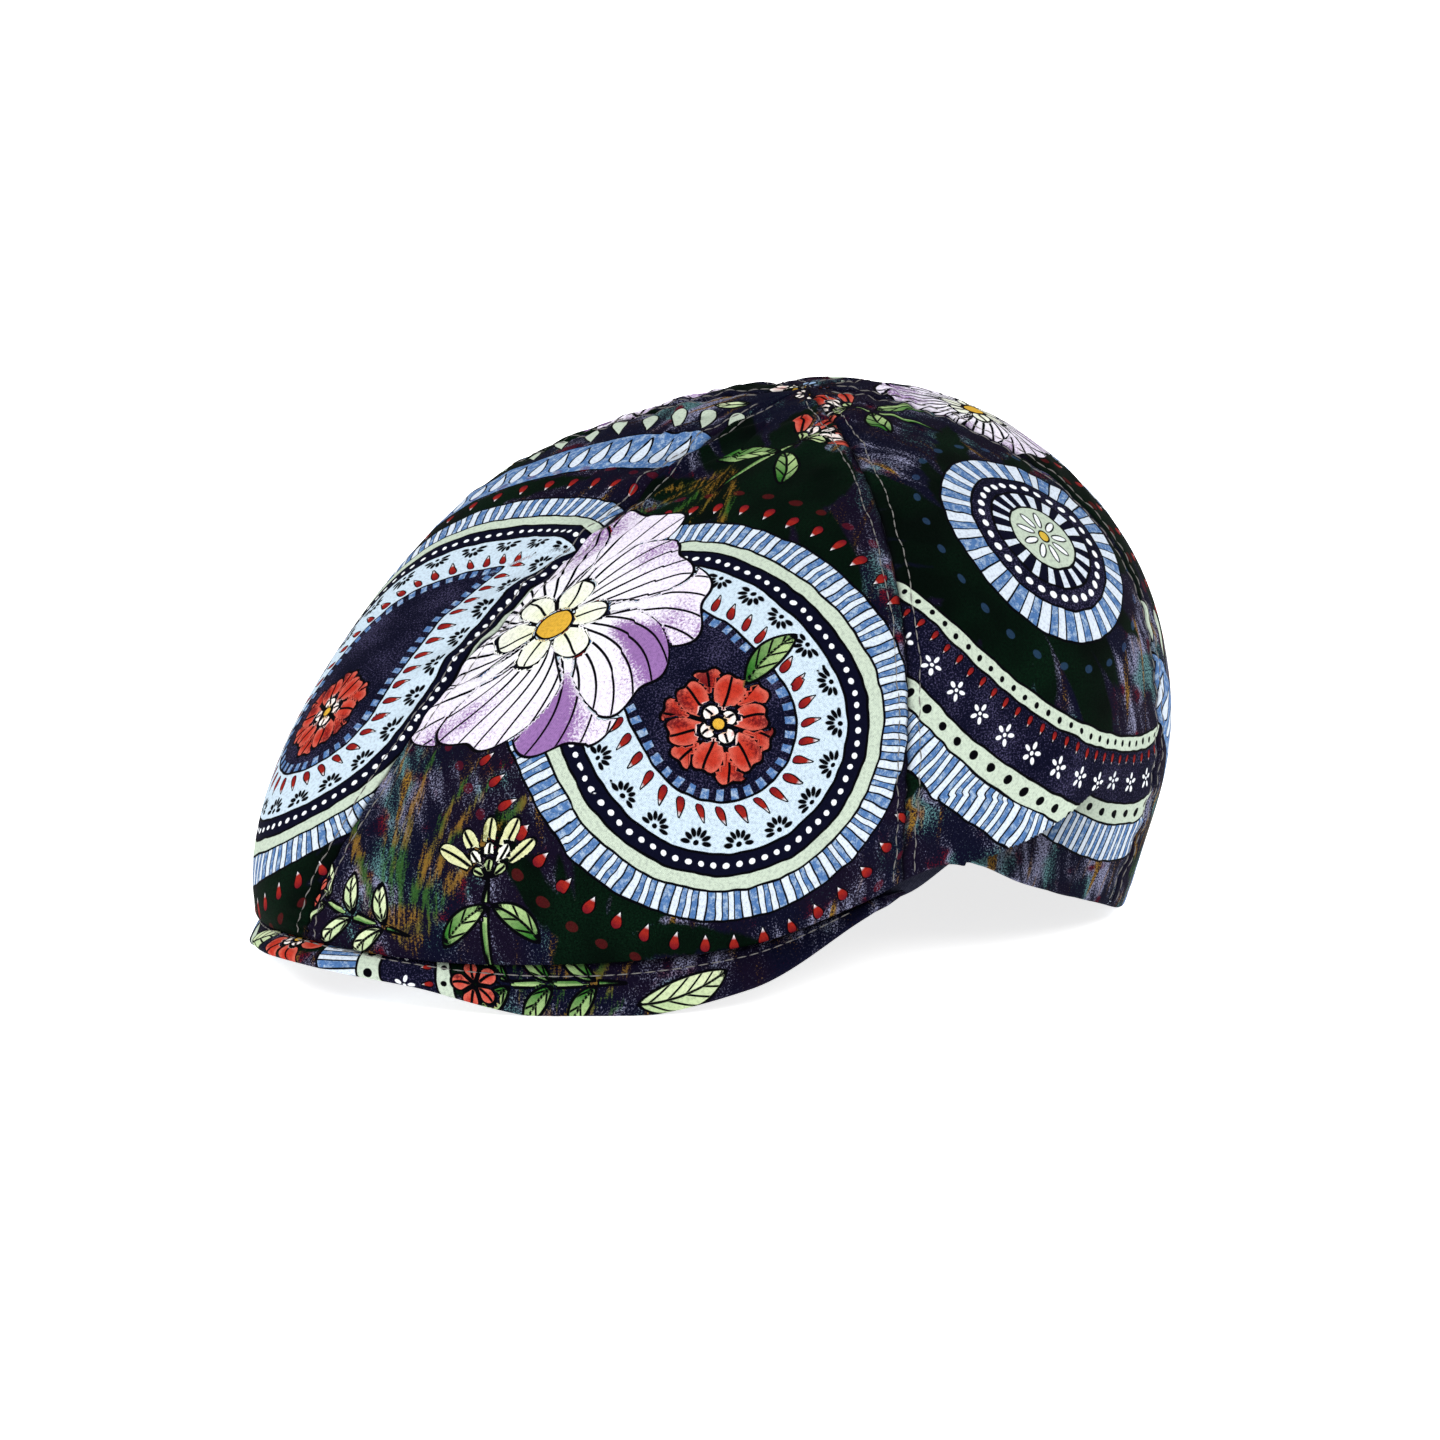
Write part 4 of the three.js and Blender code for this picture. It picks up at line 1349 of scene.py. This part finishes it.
def makePlainCloth(name, groups):
    # one colour that gets lighter with the weave and in soft patches
    row = {**plainCloth, **clothFinishes[name]}
    material, tree, shader, place, weaveShade = newMaterial(name, row, groups)
    patch = noise(place, 5, 3, 0.6) * 0.5 - 0.4
    lift = calc("MULTIPLY_ADD", weaveShade, 0.8, patch, clamp=True)
    feed(tree, shader.inputs["Base Color"], mixColour(lift, row["colour"], row["lighter"]))
    return material


# Peak
peak = {
    "end": 77,
    "thickness": 2.5,
    "endThickness": 1.3,
    "taperFrom": 62,
    "contactDrop": 0.45,
    "around": 460,
    "topSteps": 60,
    "edgeSteps": 8,
    "underEvery": 4,
    "bandHalfWidth": 83.5,
    "bandFront": 101.0,
    "wall": 2.0,
    "gap": 0.3,
    "bend": 0.45,
    "shade": 0.8,
    "stitchEnd": 73,
    "stitchShare": 0.6,
    "flatShift": (300.0, 450.0),
    "seed": 11,
    "fillers": 30,
    "width": {0: 6.5, 20: 6, 40: 12.5, 60: 9.5, 78: 1.5},
    "fall": {0: 31, 20: 69, 40: 84, 60: 52, 78: 45},
    "root": {0: 20, 30: 19, 60: 17, 70: 18, 78: 20.8},
}
peakLayout = [
    motif("grass", 60, -8, size=34, turn=60, spread=90, blades=8),
    motif("frond", 40, 12, size=40, turn=190, spread=60, blades=6),
    motif("garland", -46, 6, radius=40, turn=82),
    motif("leaf", -22, 2, size=13, turn=20),
    motif("blossom", -4, 5, size=9, tint="red", heart="rose"),
    motif("band", 24, 6, radius=60, turn=-80),
    motif("sprig", 66, 5, size=26, turn=186, tint="green"),
    motif("leaf", 96, 3, size=17, turn=8),
]


def peakTop(angle, share):
    # root against the band, level run under the crown's edge, bend down to the outer edge
    turn = np.radians(angle)
    upright = np.array([0, 0, 1.0])
    root = stack((peak["bandHalfWidth"] + peak["gap"]) * np.sin(turn),
                 -(peak["bandFront"] + peak["gap"]) * np.cos(turn), readTable(peak["root"], angle))
    outward = unit(stack(np.sin(turn) / cap["halfWidth"], -np.cos(turn) / cap["frontReach"], 0.0))
    rim = rimPoint(angle)
    contact = rim - outward * (peak["wall"] + peak["gap"])
    contact[..., 2] = rim[..., 2] - peak["contactDrop"]
    root[..., 2] = np.maximum(root[..., 2], contact[..., 2])
    fall = np.radians(readTable(peak["fall"], angle))[..., None]
    width = readTable(peak["width"], angle)[..., None]
    edge = rim + outward * width * np.cos(fall) - upright * width * np.sin(fall)
    s = np.clip(share / peak["bend"], 0, 1)[..., None]
    level = root + (contact - root) * s
    level[..., 2:] = root[..., 2:] + (contact[..., 2:] - root[..., 2:]) * s**2
    t = np.clip((share - peak["bend"]) / (1 - peak["bend"]), 0, 1)[..., None]
    shoulder = contact + (edge - contact) * 0.55
    shoulder[..., 2] = contact[..., 2] + (edge[..., 2] - contact[..., 2]) * 0.3
    outer = (1 - t) ** 2 * contact + 2 * (1 - t) * t * shoulder + t**2 * edge
    return np.where((share < peak["bend"])[..., None], level, outer)


def peakNormal(angle, share):
    # cross product of small steps along the peak and outwards, pointing up
    a = np.clip(angle, -peak["end"] + 0.5, peak["end"] - 0.5)
    s = np.clip(share, 0.01, 0.99)
    along = peakTop(a + 0.4, s) - peakTop(a - 0.4, s)
    outwards = peakTop(a, s + 0.01) - peakTop(a, s - 0.01)
    return unit(np.cross(outwards, along))


def buildPeak(material):
    # top face, a round outer edge, and an under face one thickness below; the rows close
    # to a ring against the band
    angle = np.linspace(-peak["end"], peak["end"], peak["around"] + 1)[None, :]
    share = np.linspace(0, 1, peak["topSteps"] + 1)[:, None]
    angle, share = np.broadcast_arrays(angle, share)
    thinning = np.clip((np.abs(angle) - peak["taperFrom"]) / (peak["end"] - peak["taperFrom"]), 0, 1)
    thickness = (peak["thickness"] + (peak["endThickness"] - peak["thickness"]) * thinning)[..., None]
    normal = peakNormal(angle, share)
    top = peakTop(angle, share)
    radius = thickness[-1:] / 2
    outwards = unit(top[-1] - peakTop(angle[-1], share[-1] * 0.985))[None]
    core = top[-1:] - (normal[-1:] + outwards) * radius
    top = top - outwards * radius * between(share, peak["bend"], 1.0)[..., None]
    swing = np.linspace(0, np.pi, peak["edgeSteps"] + 1)[1:-1, None, None]
    edge = core + radius * (np.sin(swing) * outwards + np.cos(swing) * normal[-1:])
    under = (top - normal * thickness)[::-peak["underEvery"]]
    ring = np.concatenate([top, edge, under])
    ring[..., 2] = np.maximum(ring[..., 2], 0)
    grid = np.arange(ring[..., 0].size).reshape(ring.shape[:2])
    faces = gridFaces(grid, closedRows=True).tolist() + [grid[::-1, 0].tolist(), grid[:, -1].tolist()]
    ends = (len(faces) - 2, len(faces) - 1)
    made = makeObject("peak_cover", ring.reshape(-1, 3), faces, [material], 0, ends)

    run = lengthsAlong(top[-1])
    reach = lengthsAlong(ring)
    across = reach[peak["topSteps"]] - reach
    flat = stack(run - run[len(run) // 2], across).reshape(-1, 2)
    setUv(made, flat + np.array(peak["flatShift"]))
    fields = printFields(flat[:, 0], flat[:, 1], peakLayout, peak["seed"], peak["fillers"])
    # painted shade on the peak's top where it runs in under the crown's edge, fading out towards the bend;
    # none on its round edge and under face
    fields["shade"] = np.zeros(len(flat))
    fields["shade"][:share.size] = (peak["shade"] * np.clip((0.5 - share) / 0.1, 0, 1) * (share > 0)).ravel()
    setFields(made, fields)
    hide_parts("peak")
    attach(made, "root")
    print("peak", len(made.data.polygons), "faces")


# Band inside the head opening
band = {
    "halfWidth": 83.3,
    "front": 100.8,
    "back": 100.3,
    "height": 24,
    "thickness": 1.1,
    "around": 420,
    "up": 20,
    "edgeSteps": 5,
    "ripple": 0.12,
    "ripples": 46,
    "lower": {0: 17, 45: 15.5, 62: 15.5, 78: 20.5, 90: 28, 105: 15, 120: 7.8, 140: 1.2, 180: 1.2},
}


def buildBand(material):
    # upright ring on an oval: outer face, round upper edge, inner face, round lower edge
    angle = np.linspace(-180, 180, band["around"] + 1)[None, :-1]
    turn = np.radians(angle)
    half = band["thickness"] / 2
    low = readTable(band["lower"], angle) + half
    high = low + band["height"] - 2 * half
    climb = np.linspace(0, 1, band["up"] + 1)[:, None]
    swing = np.linspace(0, np.pi, band["edgeSteps"] + 1)[1:-1, None]
    ripple = band["ripple"] * np.sin(turn * band["ripples"]) * (1 - climb)
    inset = np.concatenate([ripple, half - half * np.cos(swing) + 0 * angle,
                            band["thickness"] + ripple[::-1], half + half * np.cos(swing) + 0 * angle])
    height = np.concatenate([low + (high - low) * climb, high + half * np.sin(swing),
                             high + (low - high) * climb, low - half * np.sin(swing)])
    reach = np.where(np.abs(angle) < 90, band["front"], band["back"])
    ring = stack((band["halfWidth"] - inset) * np.sin(turn), -(reach - inset) * np.cos(turn), height)[::-1]
    grid = np.arange(ring[..., 0].size).reshape(ring.shape[:2])
    faces = gridFaces(np.concatenate([grid, grid[:, :1]], 1), closedRows=True).tolist()
    made = makeObject("inner_band", ring.reshape(-1, 3), faces, [material])
    setUv(made, stack(turn * 90, height[::-1]).reshape(-1, 2))
    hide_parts("sweatband")
    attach(made, "root")
    print("band", len(made.data.polygons), "faces")


# Stitching: every stitch is a small rounded bar, half sunk into the cloth
thread = {
    "stitch": 2.85,
    "pitch": 3.1,
    "width": 0.34,
    "height": 0.24,
    "rings": 5,
    "sides": 6,
    "slowWander": 0.25,
    "quickWander": 0.12,
}


def stitchesAlong(path, normals):
    # stitches at even steps on a line of points: a bar that swells from its ends as a
    # half ellipse, with a round section
    lengths = lengthsAlong(path)
    count = int(lengths[-1] / thread["pitch"])
    centres = (np.arange(count) + 0.5) * lengths[-1] / count
    t = np.linspace(-0.5, 0.5, thread["rings"])
    where = centres[:, None] + t[None, :] * thread["stitch"]
    spot = stack(*[np.interp(where, lengths, path[:, k]) for k in range(3)])
    up = unit(stack(*[np.interp(where, lengths, normals[:, k]) for k in range(3)]))
    aside = np.cross(up, unit(np.gradient(spot, axis=1)))
    swell = np.sqrt(np.clip(1 - (2 * t) ** 2, 0.03, 1))[None, :, None, None]
    around = np.linspace(0, 2 * np.pi, thread["sides"] + 1)[:-1][None, None, :, None]
    lift = up[:, :, None] * thread["height"] * (np.sin(around) * swell * 0.9 + 0.25 * swell)
    spread = aside[:, :, None] * thread["width"] / 2 * np.cos(around) * swell
    return (spot[:, :, None] + lift + spread).reshape(count, -1, 3)


def buildStitches(name, lines, material):
    # all stitches of some lines in one mesh, each with closed ends
    bars = np.concatenate([stitchesAlong(path, normals) for path, normals in lines])
    rings, sides = thread["rings"], thread["sides"]
    grid = np.arange(rings * sides).reshape(rings, sides)
    quads = gridFaces(np.concatenate([grid, grid[:, :1]], 1))
    ends = np.stack([grid[0, ::-1], grid[-1]])
    offsets = np.arange(len(bars))[:, None, None] * rings * sides
    faces = (quads[None] + offsets).reshape(-1, 4).tolist()
    faces += (ends[None] + offsets).reshape(-1, sides).tolist()
    made = makeObject(name, bars.reshape(-1, 3), faces, [material])
    setUv(made, np.zeros((len(made.data.vertices), 2)))
    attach(made, "root")
    print("stitches", name, len(bars))


def seamLines():
    # a line of stitches on both sides of every seam, at a fixed distance from it that
    # wanders a little
    lines = []
    down = np.linspace(0.06, 0.992, 260)
    for seam in (0, cap["sideSeam"], cap["backSeam"], 180, -cap["sideSeam"], -cap["backSeam"]):
        for side in (-1, 1):
            wander = thread["slowWander"] * np.sin(down * 41 + seam)
            wander += thread["quickWander"] * np.sin(down * 97 + side)
            angle = np.full(down.shape, float(seam))
            angle = angle + side * (cloth["stitchRow"] + wander) / perDegree(angle, down)
            angle = np.where(angle > 180, angle - 360, np.where(angle < -180, angle + 360, angle))
            lines.append((clothPoint(angle, down), crownNormal(angle, down)))
    return lines


def peakLine():
    # one row along the peak, just ahead of the crown's edge
    angle = np.linspace(-peak["stitchEnd"], peak["stitchEnd"], 600)
    share = np.full(angle.shape, peak["stitchShare"])
    return [(peakTop(angle, share), peakNormal(angle, share))]


# Stage
view = {
    "azimuth": 48,
    "elevation": 10,
    "distance": 1300,
    "pixelsPerMm": 4.09,
    "imageSize": 1440,
    "sensor": 36,
    "aimRight": -4.52,
    "aimUp": -11.37,
    "aimHeight": 60,
    "farthest": 50,
}
lamps = {
    "keyLight": {"from": (-0.5, -1.0, 1.1), "strength": 1.7, "spread": 30},
    "fillLight": {"from": (1.2, -0.4, 1.0), "strength": 1.2, "spread": 25},
    "rimLight": {"from": (0.2, 1.2, 0.8), "strength": 0.8, "spread": 50},
}
room = {
    "ambient": 0.56,
    "glow": 0.78,
    "floor": 0.96,
    "roughness": 0.9,
    "floorHalf": 40.0,
    "floorDrop": 0.0002,
}


def buildCamera():
    # looks at a point near the cap's middle from the view's azimuth and elevation
    a, e = math.radians(view["azimuth"]), math.radians(view["elevation"])
    back = np.array([math.sin(a) * math.cos(e), -math.cos(a) * math.cos(e), math.sin(e)])
    right = np.array([math.cos(a), math.sin(a), 0])
    up = np.cross(back, right)
    aim = np.array([0, cap["frontToCentre"], view["aimHeight"]])
    aim = aim + right * view["aimRight"] + up * view["aimUp"]
    lens = bpy.data.cameras.new("camera")
    lens.sensor_width = view["sensor"]
    lens.lens = view["sensor"] * view["pixelsPerMm"] * view["distance"] / view["imageSize"]
    lens.clip_end = view["farthest"]
    camera = bpy.data.objects.new("camera", lens)
    camera.location = (aim + back * view["distance"]) * 0.001
    camera.rotation_euler = Matrix(np.stack([right, up, back], 1).tolist()).to_euler()
    bpy.context.scene.collection.objects.link(camera)
    bpy.context.scene.camera = camera


def buildStage():
    # white surroundings, a pale floor that glows a little, and three wide lamps
    world = bpy.data.worlds.new("studio")
    world.use_nodes = True
    world.node_tree.nodes["Background"].inputs[0].default_value = (1, 1, 1, 1)
    world.node_tree.nodes["Background"].inputs[1].default_value = room["ambient"]
    bpy.context.scene.world = world
    half = room["floorHalf"]
    corners = [(x * half, y * half, -room["floorDrop"]) for x, y in ((-1, -1), (1, -1), (1, 1), (-1, 1))]
    mesh = bpy.data.meshes.new("floor")
    mesh.from_pydata(corners, [], [(0, 1, 2, 3)])
    floor = bpy.data.objects.new("floor", mesh)
    bpy.context.scene.collection.objects.link(floor)
    material = bpy.data.materials.new("floorPaper")
    material.use_nodes = True
    shader = material.node_tree.nodes["Principled BSDF"]
    shader.inputs["Base Color"].default_value = (room["floor"], room["floor"], room["floor"], 1)
    shader.inputs["Roughness"].default_value = room["roughness"]
    shader.inputs["Emission Color"].default_value = (1, 1, 1, 1)
    shader.inputs["Emission Strength"].default_value = room["glow"]
    mesh.materials.append(material)
    for name, row in lamps.items():
        lamp = bpy.data.lights.new(name, "SUN")
        lamp.energy = row["strength"]
        lamp.angle = math.radians(row["spread"])
        made = bpy.data.objects.new(name, lamp)
        made.location = row["from"]
        made.rotation_euler = (-Vector(row["from"])).to_track_quat("-Z", "Y").to_euler()
        bpy.context.scene.collection.objects.link(made)
    bpy.context.scene.view_settings.view_transform = "Standard"


buildCamera()
buildStage()
print("camera and stage ready")

groups = {
    "ground": makeGroundGroup(),
    "speckle": makeSpeckleGroup(),
    "sash": makeSashGroup(),
    "paisley": makePaisleyGroup(),
    "wheel": makeWheelGroup(),
    "shapes": makeShapeGroup(),
    "weave": makeWeaveGroup(),
}
printedCloth = makePrintedCloth(groups)
reverseCloth = makePlainCloth("reverseCloth", groups)
bandCloth = makePlainCloth("bandCloth", groups)
threadCloth = makePlainCloth("thread", groups)
print("materials ready")

buildCrown([printedCloth, reverseCloth])
buildPeak(printedCloth)
buildBand(bandCloth)
buildStitches("seam_stitching", seamLines(), threadCloth)
buildStitches("peak_stitching", peakLine(), threadCloth)
print("pieces ready")
